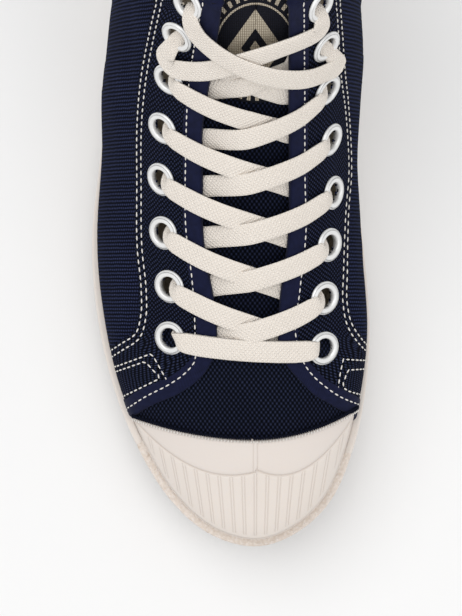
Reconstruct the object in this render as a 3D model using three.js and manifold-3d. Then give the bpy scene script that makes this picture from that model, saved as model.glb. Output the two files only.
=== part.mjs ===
// Canvas high-top sneaker for the right foot, about European size 38 to 39.
// Millimetres, +Z up. The toe points to -Y and the medial side is +X. The origin is on the floor under the
// middle of the sole. The upper is one hollow sheet lofted through sections of the last, and everything that
// lies on it or in it, such as toe cap, tongue, eyelets and laces, is placed with the same function.
import * as THREE from "three";
import { mergeVertices } from "three/addons/utils/BufferGeometryUtils.js";
import Module from "manifold-3d";

const wasm = await Module();
wasm.setup();

// Driving dimensions.
const LENGTH = 271; // sole, toe tip to heel
const BALL_WIDTH = 98; // sole, across the ball
const SHAFT_HEIGHT = 139; // floor to the front of the collar
const WALL = 1.8; // canvas, lining and glue
const GAP = 0.3; // left between pieces that meet
const FOXING_THICK = 2.7; // rubber tape round the sole
const GUARD_THICK = 1.1; // textured strip round the toe, part of the tape's thickness
const OUTSOLE_THICK = 5; // tread sheet
const CAP_THICK = 1.7; // rubber toe cap
const INSOLE_THICK = 3;
const TONGUE_THICK = 2.2;
const TONGUE_DEPTH = 4; // its outer face, inside the upper's outer face
const TONGUE_HALF_WIDTH = 25;
const TONGUE_RISE = 11; // above the collar
const TONGUE_CORNER_DROP = 0.35; // share of the rise missing at the corners of its end
const TONGUE_WRAP = 0.75; // rows that its top corners reach round the collar
const TONGUE_ROW = 4.7; // row where it starts under the vamp
const TOE_SPRING = 9; // lift of the sole's underside at the toe tip
const SPRING_START = -72; // y where the toe spring begins
const ARCH_LIFT = 1.2; // lift of the sole's underside at the waist
const EYELET_HOLE_R = 3.1;
const EYELET_BARREL_R = 3.8;
const EYELET_FLANGE_R = 5.9;
const EYELET_FLANGE_THICK = 0.9;
const EYELET_ROLL = 0.4; // drop of the flange's rolled rims
const EYELET_FACETS = 12;
const LACE_WIDTH = 6.8;
const LACE_THICK = 1.4;
const GROOVE_DEPTH = 1.5; // grooves across the tread
const GROOVE_WIDTH = 2;
const TREAD_BARS = [
  { from: -118, to: -18, count: 10 },
  { from: 70, to: 122, count: 5 },
];

const HALF_BALL = BALL_WIDTH / 2;
const LATERAL = -1;
const MEDIAL = 1;
const DEGREE = Math.PI / 180;

// Sections of the last, a row each, fanned from the toe tip to the back of the heel.
// along and out place the sole's edge: percent of LENGTH from the toe, and percent of HALF_BALL outwards.
// topAlong, topOut and topRise place the top line in the same way, topRise in percent of SHAFT_HEIGHT.
// The top line is the instep's ridge up to the shaft's front and the collar from there on.
// face is where the surface looks at the top line (0 to the toe, 90 sideways, 180 to the heel), steep is its
// slope there, and turn swings the section from downhill (0) to sideways (90).
// rise, bulge and reach are the section's handles in mm: up and out from the sole's edge, and away from the
// top line.
const COLUMNS = [
  "along", "out", "topAlong", "topOut", "topRise", "face", "steep", "turn", "rise", "bulge", "reach",
];
const LATERAL_SECTIONS = [
  ["toe tip", 0, -15.9, 7.8, -15.7, 31.5, 0, 24, 0, 13, 2, 9],
  ["toe round", 1.9, 18.0, 8.8, -15.5, 32.2, 0, 21, 35, 13, 2, 10],
  ["toe corner", 6.7, 46.6, 11.0, -15.2, 33.6, 0, 19, 60, 13, 2, 12],
  ["cap edge", 13.8, 69.8, 14.6, -14.8, 35.8, 0, 18.5, 78, 14, 4, 14],
  ["ball front", 22.0, 86.8, 20.5, -13.8, 39.8, 0, 19.5, 90, 15, 6, 15],
  ["ball", 31.3, 97.4, 28.4, -12.7, 45.3, 0, 21.5, 90, 17, 5, 16],
  ["waist front", 40.3, 100, 37.3, -11.9, 52.4, 0, 24, 90, 22, 5, 17],
  ["waist", 50, 94.6, 45.5, -11.4, 59.7, 0, 27.5, 90, 29, 8, 18],
  ["instep", 58.2, 87.8, 53.0, -11.9, 68, 0, 36, 90, 42, 17, 20],
  ["ankle front", 64.2, 83.0, 60.1, -14.4, 80.5, 0, 48, 90, 56, 19, 21],
  ["shaft front", 69.8, 78.8, 67.4, -17.6, 100, 0, 58, 80, 64, 20, 21],
  ["shaft quarter", 76.1, 75.5, 72.4, 29.6, 99.3, 50, 78, 25, 46, 16, 34],
  ["shaft side", 82.8, 72.6, 82.1, 58.2, 98.2, 90, 88, 0, 32, 10, 38],
  ["heel quarter", 89.9, 65.6, 91.0, 44.4, 98.2, 140, 92, 0, 30, 7, 38],
  ["heel round", 96.8, 43.4, 95.3, 23.3, 98.6, 162, 93, 0, 30, 5, 38],
  ["heel back", 100, -3.2, 96.8, -3.2, 98.9, 180, 93, 0, 30, 4, 38],
];
const MEDIAL_SECTIONS = [
  ["toe tip", 0, 15.9, 7.8, 15.7, 31.5, 0, 24, 0, 13, 2, 9],
  ["toe round", 1.7, 46.6, 8.8, 15.5, 32.2, 0, 21, 35, 13, 2, 10],
  ["toe corner", 6.0, 72.0, 11.0, 15.2, 33.6, 0, 19, 60, 13, 2, 12],
  ["cap edge", 12.5, 87.8, 14.6, 14.8, 35.8, 0, 18.5, 78, 14, 3, 14],
  ["ball front", 20.1, 96.9, 20.5, 13.8, 39.8, 0, 19.5, 90, 15, 7.5, 16],
  ["ball", 28.7, 100, 28.4, 12.7, 45.3, 0, 21.5, 90, 17, 10, 17],
  ["waist front", 38.8, 95.7, 37.3, 11.9, 52.4, 0, 24, 90, 22, 9, 19],
  ["waist", 48.9, 89.3, 45.5, 11.4, 59.7, 0, 27.5, 90, 29, 9, 21],
  ["instep", 57.5, 85.0, 53.0, 11.9, 68, 0, 36, 90, 42, 15, 22],
  ["ankle front", 63.4, 84.2, 60.1, 14.4, 80.5, 0, 48, 90, 56, 18, 22],
  ["shaft front", 69.4, 83.2, 67.4, 17.6, 100, 0, 58, 80, 64, 18, 22],
  ["shaft quarter", 76.1, 82.1, 72.4, 59.3, 99.3, 50, 78, 25, 46, 14, 34],
  ["shaft side", 82.8, 79.6, 82.1, 68.8, 98.2, 90, 88, 0, 32, 11, 38],
  ["heel quarter", 89.9, 71.5, 91.0, 52.9, 98.2, 140, 92, 0, 30, 8, 38],
  ["heel round", 96.8, 48.7, 95.3, 30.7, 98.6, 162, 93, 0, 30, 5, 38],
  ["heel back", 100, 3.2, 96.8, 3.2, 98.9, 180, 93, 0, 30, 4, 38],
];
const LAST_ROW = LATERAL_SECTIONS.length - 1;
const SHAFT_FRONT = 10; // row where the top line turns from the ridge to the collar
const GUARD_ROW = 3; // row where the toe guard ends
const CAP_ROW = 3.5; // just past the toe cap's rear edge at the sides

// Rear edge of the toe cap in plan: its foremost point, and how far it spans and sweeps back on each side.
const CAP_REAR = {
  x: 8.4, y: -97.3, lateral: { span: 44, sweep: 7.8 }, medial: { span: 35.6, sweep: 10.3 },
};

// Levels of the sole along the shoe: the floor that upper and insole stand on, and the tape's top edge.
const SOLE_LEVELS = [
  { y: -134, floor: 19.5, tape: 30.5 },
  { y: -104, floor: 16.5, tape: 27.5 },
  { y: -66, floor: 14.5, tape: 26 },
  { y: 0, floor: 15, tape: 26.5 },
  { y: 70, floor: 17, tape: 28.5 },
  { y: 134, floor: 18, tape: 30 },
];

// Eyelets from the toe up: where each lies in plan, on the lateral and on the medial facing.
const EYELETS = [
  { lateral: [-21.0, -61.8], medial: [32.0, -65.4] },
  { lateral: [-21.1, -44.0], medial: [32.2, -48.0] },
  { lateral: [-23.1, -25.6], medial: [33.7, -29.7] },
  { lateral: [-23.8, -7.4], medial: [35.0, -11.8] },
  { lateral: [-23.1, 9.6], medial: [33.9, 5.9] },
  { lateral: [-20.8, 25.3], medial: [32.3, 22.0] },
  { lateral: [-17.8, 38.5], medial: [31.6, 35.6] },
  { lateral: [-14.1, 48.1], medial: [29.3, 47.7] },
];
const PAIRS = EYELETS.length;

// The throat between the facings: its two edges in plan, from its round foot to above the collar.
const THROAT = [
  { y: -66, lateral: -5.4, medial: 16.8 },
  { y: -56, lateral: -5.7, medial: 17.0 },
  { y: -46, lateral: -7.1, medial: 17.8 },
  { y: -36, lateral: -9.2, medial: 19.4 },
  { y: -26, lateral: -10.4, medial: 20.5 },
  { y: -8, lateral: -10.5, medial: 20.7 },
  { y: 8, lateral: -10.4, medial: 20.4 },
  { y: 20, lateral: -8.4, medial: 20.1 },
  { y: 32, lateral: -6.0, medial: 19.9 },
  { y: 42, lateral: -4.3, medial: 19.7 },
  { y: 70, lateral: -3.6, medial: 19.2 },
];
const THROAT_FOOT = 3; // depth of the round foot below the first row

// How the lace crosses at each pair above the first: shares of the way from the eyelet to the far one, and
// the lift of the lace's middle off the last's surface there.
const CROSSINGS = {
  over: [[0.13, 1.6], [0.3, 1.5], [0.5, 0.4], [0.69, -0.9]],
  under: [[0.33, -1.3], [0.5, -1.3], [0.67, -1.3]],
  top: [[0.14, 1.8], [0.3, 2.2], [0.5, 2.6], [0.7, 2.2], [0.86, 1.8]],
};
const TOP_SAG = 9; // how far the top crossing hangs towards the toe
const RIDGE_X = 6; // the ridge's x along the instep

function catmullRom(a, b, c, d, t) {
  return b + 0.5 * t * (c - a + t * (2 * a - 5 * b + 4 * c - d + t * (3 * (b - c) + d - a)));
}

function tableOf(side) {
  return side === LATERAL ? LATERAL_SECTIONS : MEDIAL_SECTIONS;
}

// A column of the sections' table at a whole row. Past the toe and the heel the other side's rows follow.
function cell(side, row, column) {
  const index = COLUMNS.indexOf(column) + 1;
  if (row >= 0 && row <= LAST_ROW) return tableOf(side)[row][index];
  const across = tableOf(-side)[row < 0 ? -row : 2 * LAST_ROW - row][index];
  if (column === "out" || column === "topOut") return -across;
  if (column === "face") return row < 0 ? -across : 360 - across;
  if (column === "turn") return row < 0 ? -across : across;
  return across;
}

// A column anywhere between rows. The top line has a corner at the shaft's front, so its columns don't look
// past it.
function column(side, u, name) {
  const row = Math.min(LAST_ROW - 1, Math.max(0, Math.floor(u)));
  const at = (k) => cell(side, k, name);
  const corner = name.startsWith("top") || name === "face";
  const before = corner && row === SHAFT_FRONT ? 2 * at(row) - at(row + 1) : at(row - 1);
  const after = corner && row + 1 === SHAFT_FRONT ? 2 * at(row + 1) - at(row) : at(row + 2);
  return catmullRom(before, at(row), at(row + 1), after, u - row);
}

function smoothLevel(y, name) {
  const rows = SOLE_LEVELS;
  let k = 0;
  while (k < rows.length - 2 && y > rows[k + 1].y) k += 1;
  const t = Math.min(1, Math.max(0, (y - rows[k].y) / (rows[k + 1].y - rows[k].y)));
  const before = rows[Math.max(0, k - 1)][name];
  const after = rows[Math.min(rows.length - 1, k + 2)][name];
  return catmullRom(before, rows[k][name], rows[k + 1][name], after, t);
}

// Height of the sole's underside: flat at heel and ball, lifted at the waist and at the toe.
function undersideAt(y) {
  if (y < SPRING_START) return TOE_SPRING * ((SPRING_START - y) / (LENGTH / 2 + SPRING_START)) ** 2;
  const archStart = 2;
  const archEnd = 62;
  if (y < archStart || y > archEnd) return 0;
  return (ARCH_LIFT * (1 - Math.cos((2 * Math.PI * (y - archStart)) / (archEnd - archStart)))) / 2;
}

// The sole's edge in plan, moved inwards by inset.
function edgeAt(side, u, inset = 0) {
  const place = (s) => [
    (side * HALF_BALL * column(side, s, "out")) / 100,
    LENGTH * (column(side, s, "along") / 100 - 0.5),
  ];
  const step = 0.02;
  const [x, y] = place(u);
  const [x0, y0] = place(Math.max(0, u - step));
  const [x1, y1] = place(Math.min(LAST_ROW, u + step));
  let outward = new THREE.Vector2(side * (y1 - y0), -side * (x1 - x0)).normalize();
  if (u <= 0) outward = new THREE.Vector2(0, -1);
  if (u >= LAST_ROW) outward = new THREE.Vector2(0, 1);
  return { x: x - inset * outward.x, y: y - inset * outward.y, outward };
}

// A point of the upper's outer surface, or of the surface depth mm inside it. u runs through the sections from
// the toe tip to the heel. v runs up a section, from -1 at the sole's floor through 0 at the tape's top edge to
// 1 at the top line.
function last(side, u, v, depth = 0) {
  const value = (name) => column(side, u, name);
  const foot = edgeAt(side, u, FOXING_THICK + GAP + depth);
  const face = value("face") * DEGREE;
  const steep = value("steep") * DEGREE;
  const turn = value("turn") * DEGREE;
  const normal = new THREE.Vector3(
    side * Math.sin(face) * Math.sin(steep),
    -Math.cos(face) * Math.sin(steep),
    Math.cos(steep),
  );
  const downhill = new THREE.Vector3(
    side * Math.sin(face) * Math.cos(steep),
    -Math.cos(face) * Math.cos(steep),
    -Math.sin(steep),
  );
  const sideways = new THREE.Vector3(side * Math.cos(face), Math.sin(face), 0);
  const heading = downhill.multiplyScalar(Math.cos(turn)).addScaledVector(sideways, Math.sin(turn));
  const tape = smoothLevel(foot.y, "tape");
  const p0 = new THREE.Vector3(foot.x, foot.y, tape);
  if (v < 0) return p0.setZ(tape + v * (tape - smoothLevel(foot.y, "floor") - GAP));
  const p1 = new THREE.Vector3(
    foot.outward.x * value("bulge"),
    foot.outward.y * value("bulge"),
    value("rise"),
  ).add(p0);
  const p3 = new THREE.Vector3(
    (side * HALF_BALL * value("topOut")) / 100,
    LENGTH * (value("topAlong") / 100 - 0.5),
    (SHAFT_HEIGHT * value("topRise")) / 100,
  ).addScaledVector(normal, -depth);
  const p2 = p3.clone().addScaledVector(heading, value("reach"));
  const w = 1 - v;
  return p0
    .multiplyScalar(w ** 3)
    .addScaledVector(p1, 3 * v * w * w)
    .addScaledVector(p2, 3 * v * v * w)
    .addScaledVector(p3, v ** 3);
}

// The outer surface's point and outward normal at (u, v).
function lastFrame(side, u, v) {
  const step = 0.01;
  const du = last(side, u + step, v).sub(last(side, u - step, v));
  const dv = last(side, u, v + step).sub(last(side, u, v - step));
  const normal = du.cross(dv).normalize().multiplyScalar(side === LATERAL ? -1 : 1);
  if (normal.z < 0) normal.negate();
  return { point: last(side, u, v), normal };
}

// Where a vertical line through (x, y) meets the outer surface of one side, by Newton's method on the two
// coordinates.
function lastOver(side, x, y, uStart) {
  let u = uStart;
  let v = 0.7;
  const step = 1e-3;
  for (let pass = 0; pass < 40; pass += 1) {
    const p = last(side, u, v);
    const pu = last(side, u + step, v).sub(p).divideScalar(step);
    const pv = last(side, u, v + step).sub(p).divideScalar(step);
    const det = pu.x * pv.y - pu.y * pv.x;
    const ex = x - p.x;
    const ey = y - p.y;
    u += Math.max(-0.4, Math.min(0.4, (ex * pv.y - ey * pv.x) / det));
    v += Math.max(-0.1, Math.min(0.1, (ey * pu.x - ex * pu.y) / det));
    v = Math.max(0.1, Math.min(0.999, v));
  }
  return { u, v, ...lastFrame(side, u, v) };
}

// One closed mesh from triangles of points, welded.
function weld(triangles) {
  const positions = [];
  for (const [a, b, c] of triangles) positions.push(...a.toArray(), ...b.toArray(), ...c.toArray());
  const soup = new THREE.BufferGeometry();
  soup.setAttribute("position", new THREE.Float32BufferAttribute(positions, 3));
  const merged = mergeVertices(soup, 1e-3);
  const index = [];
  const order = merged.index.array;
  for (let i = 0; i < order.length; i += 3) {
    const [a, b, c] = [order[i], order[i + 1], order[i + 2]];
    if (a !== b && b !== c && a !== c) index.push(a, b, c);
  }
  merged.setIndex(index);
  return merged;
}

// Triangles of a grid of points, rows by columns, with one winding or the other.
function gridTriangles(grid, flip = false) {
  const triangles = [];
  for (let i = 0; i + 1 < grid.length; i += 1) {
    for (let j = 0; j + 1 < grid[i].length; j += 1) {
      const [a, b, c, d] = [grid[i][j], grid[i + 1][j], grid[i + 1][j + 1], grid[i][j + 1]];
      triangles.push(flip ? [a, c, b] : [a, b, c], flip ? [a, d, c] : [a, c, d]);
    }
  }
  return triangles;
}

// A closed sheet between two grids of the same size: both faces and the four edges.
function sheetBetween(over, under) {
  const edges = [
    [over[0], under[0]],
    [under[under.length - 1], over[over.length - 1]],
    [under.map((r) => r[0]), over.map((r) => r[0])],
    [over.map((r) => r[r.length - 1]), under.map((r) => r[r.length - 1])],
  ];
  const triangles = [...gridTriangles(over), ...gridTriangles(under, true)];
  for (const edge of edges) triangles.push(...gridTriangles(edge, true));
  return solid(weld(triangles));
}

// A manifold solid from a closed welded geometry, turned outwards if its faces point in.
function solid(geometry) {
  const vertProperties = geometry.attributes.position.array;
  const make = (triVerts) => new wasm.Manifold(new wasm.Mesh({ numProp: 3, vertProperties, triVerts }));
  const order = new Uint32Array(geometry.index.array);
  const made = make(order);
  if (made.volume() > 0) return made;
  for (let i = 0; i < order.length; i += 3) [order[i + 1], order[i + 2]] = [order[i + 2], order[i + 1]];
  return make(order);
}

// A three.js geometry's solid.
function solidOf(geometry) {
  const bare = geometry.index ? geometry.toNonIndexed() : geometry.clone();
  bare.deleteAttribute("normal");
  bare.deleteAttribute("uv");
  return solid(mergeVertices(bare, 1e-4));
}

function geometryOf(manifold) {
  const mesh = manifold.getMesh();
  const geometry = new THREE.BufferGeometry();
  geometry.setAttribute("position", new THREE.BufferAttribute(new Float32Array(mesh.vertProperties), 3));
  geometry.setIndex(new THREE.BufferAttribute(new Uint32Array(mesh.triVerts), 1));
  geometry.computeVertexNormals();
  return geometry;
}

function steps(from, to, count) {
  return Array.from({ length: count + 1 }, (_, i) => from + ((to - from) * i) / count);
}

// Both sides' rings of the last at one depth, as two grids (rows along u, columns up v), between two rows.
function lastGrids(uValues, vValues, depth) {
  const gridOf = (side) => uValues.map((u) => vValues.map((v) => last(side, u, v, depth)));
  return { lateral: gridOf(LATERAL), medial: gridOf(MEDIAL) };
}

const ROWS = steps(0, LAST_ROW, 2 * LAST_ROW);
const UPPER_COLUMNS = [-1, ...steps(0, 1, 8)];

// The whole last between two depths, as a hollow shell open underneath and at the collar.
function lastShell(outerDepth, innerDepth) {
  const outer = lastGrids(ROWS, UPPER_COLUMNS, outerDepth);
  const inner = lastGrids(ROWS, UPPER_COLUMNS, innerDepth);
  const top = UPPER_COLUMNS.length - 1;
  const collarRow = ROWS.findIndex((u) => u >= SHAFT_FRONT - 1e-6);
  const collar = (grid) => grid.slice(collarRow).map((r) => r[top]);
  const foot = (grid) => grid.map((r) => r[0]);
  return solid(
    weld([
      ...gridTriangles(outer.lateral, true),
      ...gridTriangles(outer.medial),
      ...gridTriangles(inner.lateral),
      ...gridTriangles(inner.medial, true),
      ...gridTriangles([foot(outer.lateral), foot(inner.lateral)], true),
      ...gridTriangles([foot(outer.medial), foot(inner.medial)]),
      ...gridTriangles([collar(outer.lateral), collar(inner.lateral)]),
      ...gridTriangles([collar(outer.medial), collar(inner.medial)], true),
    ]),
  );
}

// A plate or ring of the sole: rows across the shoe between two insets and two height functions of y.
function solePlate(inset, low, high, across = 2) {
  const surface = (level) =>
    ROWS.map((u) => {
      const a = edgeAt(LATERAL, u, inset);
      const b = edgeAt(MEDIAL, u, inset);
      return steps(0, 1, across).map((t) => {
        const y = a.y + (b.y - a.y) * t;
        return new THREE.Vector3(a.x + (b.x - a.x) * t, y, level(y));
      });
    });
  return sheetBetween(surface(high), surface(low));
}

// A band standing round the sole's edge, from row uEnd on the lateral side through the toe to uEnd on the
// medial side.
function soleBand(outerInset, innerInset, low, high, uEnd) {
  const rows = ROWS.filter((u) => u <= uEnd);
  const stations = [
    ...rows.slice(1).reverse().map((u) => [LATERAL, u]),
    ...rows.map((u) => [MEDIAL, u]),
  ];
  const wall = (inset) =>
    stations.map(([side, u]) => {
      const p = edgeAt(side, u, inset);
      return [new THREE.Vector3(p.x, p.y, low(p.y)), new THREE.Vector3(p.x, p.y, high(p.y))];
    });
  const outer = wall(outerInset);
  const inner = wall(innerInset);
  if (uEnd < LAST_ROW) return sheetBetween(outer, inner);
  const ring = (grid, j) => grid.map((r) => r[j]);
  return solid(
    weld([
      ...gridTriangles(outer, true),
      ...gridTriangles(inner),
      ...gridTriangles([ring(outer, 1), ring(inner, 1)]),
      ...gridTriangles([ring(outer, 0), ring(inner, 0)], true),
    ]),
  );
}

// A prism of vertical walls over an outline in plan.
function prism(outline, low, high) {
  const shape = new THREE.Shape(outline.map(([x, y]) => new THREE.Vector2(x, y)));
  const geometry = new THREE.ExtrudeGeometry(shape, { depth: high - low, bevelEnabled: false });
  return solidOf(geometry.translate(0, 0, low));
}

// The throat's outline in plan: both edges, joined by a round foot.
function throatOutline() {
  const foot = THROAT[0];
  const middle = (foot.lateral + foot.medial) / 2;
  const half = (foot.medial - foot.lateral) / 2;
  const round = steps(180, 360, 10)
    .slice(1, -1)
    .map((a) => [middle + half * Math.cos(a * DEGREE), foot.y + THROAT_FOOT * Math.sin(a * DEGREE)]);
  return [
    ...THROAT.slice().reverse().map((r) => [r.lateral, r.y]),
    ...round,
    ...THROAT.map((r) => [r.medial, r.y]),
  ];
}

// The outer surface above or below a plan point, on the side of the ridge that the point lies.
function seatOver([x, y]) {
  const side = x < RIDGE_X ? LATERAL : MEDIAL;
  const rowGuess = 4.7 + (y + 62) / 21;
  return lastOver(side, x, y, rowGuess);
}

// Upper: the wall of the last, open at collar, throat and underneath, with a hole for each eyelet.
function makeUpper(seats) {
  let upper = lastShell(0, WALL).subtract(prism(throatOutline(), SOLE_LEVELS[0].floor, SHAFT_HEIGHT + 20));
  const bore = EYELET_BARREL_R + GAP;
  const drill = new THREE.CylinderGeometry(bore, bore, 8 * WALL, EYELET_FACETS);
  drill.rotateX(Math.PI / 2);
  for (const seat of seats) upper = upper.subtract(solidOf(placed(drill, seat)));
  return upper;
}

// A geometry that was made about +Z, set on a seat with +Z along the seat's normal.
function placed(geometry, { point, normal }) {
  const turn = new THREE.Quaternion().setFromUnitVectors(new THREE.Vector3(0, 0, 1), normal);
  return geometry.clone().applyQuaternion(turn).translate(point.x, point.y, point.z);
}

// Eyelet: a rolled metal ring with a flange on the facing and a barrel through it.
function makeEyelet(seat) {
  const low = GAP;
  const high = low + EYELET_FLANGE_THICK;
  const profile = [
    [EYELET_HOLE_R, -WALL - GAP],
    [EYELET_BARREL_R, -WALL - GAP],
    [EYELET_BARREL_R, low],
    [EYELET_FLANGE_R, low],
    [EYELET_FLANGE_R - EYELET_ROLL, high - EYELET_ROLL],
    [(EYELET_FLANGE_R + EYELET_HOLE_R) / 2, high],
    [EYELET_HOLE_R, high - EYELET_ROLL],
    [EYELET_HOLE_R, -WALL - GAP],
  ].map(([r, z]) => new THREE.Vector2(r, z));
  const ring = new THREE.LatheGeometry(profile, EYELET_FACETS).rotateX(Math.PI / 2);
  return solidOf(placed(ring, seat));
}

// Toe cap: the rubber between two larger forms of the last, ahead of its rear edge and above the tape.
function makeToeCap() {
  const rows = ROWS.filter((u) => u <= CAP_ROW + 1);
  const columns = [-0.5, ...UPPER_COLUMNS.slice(1)];
  const inner = -1.5 * GAP;
  const outer = inner - CAP_THICK;
  const grids = { over: lastGrids(rows, columns, outer), under: lastGrids(rows, columns, inner) };
  const across = (side) => side.lateral.map((r, i) => [...r, ...side.medial[i].slice(0, -1).reverse()]);
  // Row 0 of both sides is the toe's middle line, so the fan closes there.
  const shell = sheetBetween(across(grids.over), across(grids.under));
  const rear = steps(-1.3, 1.3, 12).map((t) => {
    const { span, sweep } = t < 0 ? CAP_REAR.lateral : CAP_REAR.medial;
    return [CAP_REAR.x + t * span, CAP_REAR.y + sweep * t * t];
  });
  const beyond = [[BALL_WIDTH, -LENGTH], [-BALL_WIDTH, -LENGTH]];
  const region = prism([...rear, ...beyond].reverse(), 0, SHAFT_HEIGHT);
  const belowTape = soleMass((y) => -5, (y) => smoothLevel(y, "tape") + GAP);
  return shell.intersect(region).subtract(belowTape);
}

// Everything under a height function, a little wider than the sole.
function soleMass(low, high) {
  return solePlate(-4, low, high);
}

// How far down a section the strip of halfWidth either side of the top line reaches, as its share of v.
function stripShare(side, u, halfWidth, depth) {
  const ridge = last(side, u, 1, depth).x;
  let low = 0.3;
  let high = 1;
  for (let pass = 0; pass < 20; pass += 1) {
    const v = (low + high) / 2;
    if (Math.abs(last(side, u, v, depth).x - ridge) > halfWidth) low = v;
    else high = v;
  }
  return 1 - high;
}

// A row of points with its corners rounded off, its two ends left alone.
function rounded(row) {
  let points = row;
  for (let pass = 0; pass < 6; pass += 1) {
    points = points.map((p, i) => {
      if (i === 0 || i === points.length - 1) return p;
      return points[i - 1].clone().add(points[i + 1]).addScaledVector(p, 2).divideScalar(4);
    });
  }
  return points;
}

// Tongue: a strip under the facings that follows the ridge, wraps round inside the collar and stands above it.
// Its free end is a little lower at the corners.
function makeTongue() {
  const top = (t) => SHAFT_FRONT + TONGUE_WRAP * Math.abs(t);
  const point = (t, s, depth) => {
    const side = t < 0 ? LATERAL : MEDIAL;
    const u = TONGUE_ROW + s * (top(t) - TONGUE_ROW);
    const share = stripShare(side, Math.min(u, SHAFT_FRONT), TONGUE_HALF_WIDTH, depth);
    const closing = 1 - THREE.MathUtils.smoothstep(s, 0.72, 1);
    return last(side, u, 1 - Math.abs(t) * share * closing, depth);
  };
  const strip = (depth) => {
    const rows = steps(0, 1, 12).map((s) => rounded(steps(-1, 1, 10).map((t) => point(t, s, depth))));
    const along = point(0, 1, depth).sub(point(0, 0.96, depth)).normalize();
    const end = rows[rows.length - 1];
    const above = (rise) =>
      end.map((p, j) => {
        const drop = TONGUE_CORNER_DROP * Math.abs(j / 5 - 1) ** 3;
        return p.clone().addScaledVector(along, rise * (1 - drop));
      });
    return [...rows, above(TONGUE_RISE / 2), above(TONGUE_RISE)];
  };
  return sheetBetween(strip(TONGUE_DEPTH), strip(TONGUE_DEPTH + TONGUE_THICK));
}

// Outsole: the tread sheet with its toe spring and arch, and transverse grooves between its bars.
function makeOutsole() {
  let outsole = solePlate(0, undersideAt, (y) => undersideAt(y) + OUTSOLE_THICK);
  for (const { from, to, count } of TREAD_BARS) {
    for (const y of steps(from, to, count)) {
      const groove = new THREE.BoxGeometry(1.2 * BALL_WIDTH, GROOVE_WIDTH, 2 * GROOVE_DEPTH);
      outsole = outsole.subtract(solidOf(groove.translate(0, y, undersideAt(y))));
    }
  }
  return outsole;
}

const overOutsole = (y) => undersideAt(y) + OUTSOLE_THICK + GAP;
const tapeTop = (y) => smoothLevel(y, "tape");

// Midsole: the cushion inside the tape that upper and insole stand on.
function makeMidsole() {
  return solePlate(FOXING_THICK + GAP, overOutsole, (y) => smoothLevel(y, "floor"));
}

// Foxing: the rubber tape round the whole sole. At the toe it is thinner, under the textured guard.
function makeFoxing() {
  const ring = soleBand(0, FOXING_THICK, overOutsole, tapeTop, LAST_ROW);
  const seat = soleBand(-2, GUARD_THICK + GAP, (y) => 0, (y) => tapeTop(y) + 5, GUARD_ROW + 0.5);
  return ring.subtract(seat);
}

// Toe guard: the textured strip round the front of the tape.
function makeToeGuard() {
  return soleBand(0, GUARD_THICK, overOutsole, tapeTop, GUARD_ROW);
}

// Insole: the pad that lies on the midsole inside the upper.
function makeInsole() {
  const floor = (y) => smoothLevel(y, "floor") + GAP;
  return solePlate(FOXING_THICK + 2 * GAP + WALL, floor, (y) => floor(y) + INSOLE_THICK);
}

// A flat lace laid from one plan point to another, with its lift at shares of the way, sagging to the toe
// by sag.
function laceStrip(from, to, stops, sag = 0) {
  const pieces = 3;
  const shares = stops.slice(1).flatMap(([t], i) => steps(stops[i][0], t, pieces).slice(i === 0 ? 0 : 1));
  const liftAt = (t) => {
    const i = Math.max(1, stops.findIndex(([share]) => share >= t - 1e-9));
    const [[t0, lift0], [t1, lift1]] = [stops[i - 1], stops[i]];
    return THREE.MathUtils.lerp(lift0, lift1, (t - t0) / (t1 - t0));
  };
  const seatsAlong = shares.map((t) => {
    const hang = sag * 4 * t * (1 - t);
    const seat = seatOver([from[0] + (to[0] - from[0]) * t, from[1] + (to[1] - from[1]) * t - hang]);
    return { normal: seat.normal, point: seat.point.addScaledVector(seat.normal, liftAt(t)) };
  });
  const face = (lift) =>
    seatsAlong.map(({ point, normal }, i) => {
      const ahead = seatsAlong[Math.min(seatsAlong.length - 1, i + 1)].point.clone();
      ahead.sub(seatsAlong[Math.max(0, i - 1)].point);
      const broad = new THREE.Vector3().crossVectors(normal, ahead).normalize();
      const middle = point.clone().addScaledVector(normal, lift);
      return [-0.5, 0.5].map((s) => middle.clone().addScaledVector(broad, s * LACE_WIDTH));
    });
  return sheetBetween(face(LACE_THICK / 2), face(-LACE_THICK / 2));
}

// The bar of the lace over the vamp, between the first two eyelets.
function makeLaceBar() {
  const { lateral, medial } = EYELETS[0];
  return laceStrip(lateral, medial, [[0.13, 1.4], [0.5, 1.4], [0.87, 1.4]]);
}

// The two strips that cross at pair k, joined where they meet. Each runs from its eyelet to the far one of the
// pair below.
function makeLaceCrossing(k) {
  const [own, below] = [EYELETS[k], EYELETS[k - 1]];
  const atTop = k === PAIRS - 1;
  const stops = atTop ? CROSSINGS.top : k === PAIRS - 2 ? CROSSINGS.under : CROSSINGS.over;
  const sag = atTop ? TOP_SAG : 0;
  const falling = laceStrip(own.lateral, below.medial, stops, sag);
  return falling.add(laceStrip(own.medial, below.lateral, stops, sag));
}

const CANVAS = new THREE.MeshStandardMaterial({ color: 0x1b2138, roughness: 0.92, metalness: 0 });
const RUBBER = new THREE.MeshStandardMaterial({ color: 0xe6ddd4, roughness: 0.6, metalness: 0 });
const COTTON = new THREE.MeshStandardMaterial({ color: 0xe8dfd5, roughness: 0.95, metalness: 0 });
const METAL = new THREE.MeshStandardMaterial({ color: 0xdedcda, roughness: 0.3, metalness: 0.9 });
const LINING = new THREE.MeshStandardMaterial({ color: 0xd9d0c2, roughness: 0.95, metalness: 0 });

const shoe = new THREE.Group();

function add(name, manifold, material) {
  const mesh = new THREE.Mesh(geometryOf(manifold), material);
  mesh.name = name;
  shoe.add(mesh);
}

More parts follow.
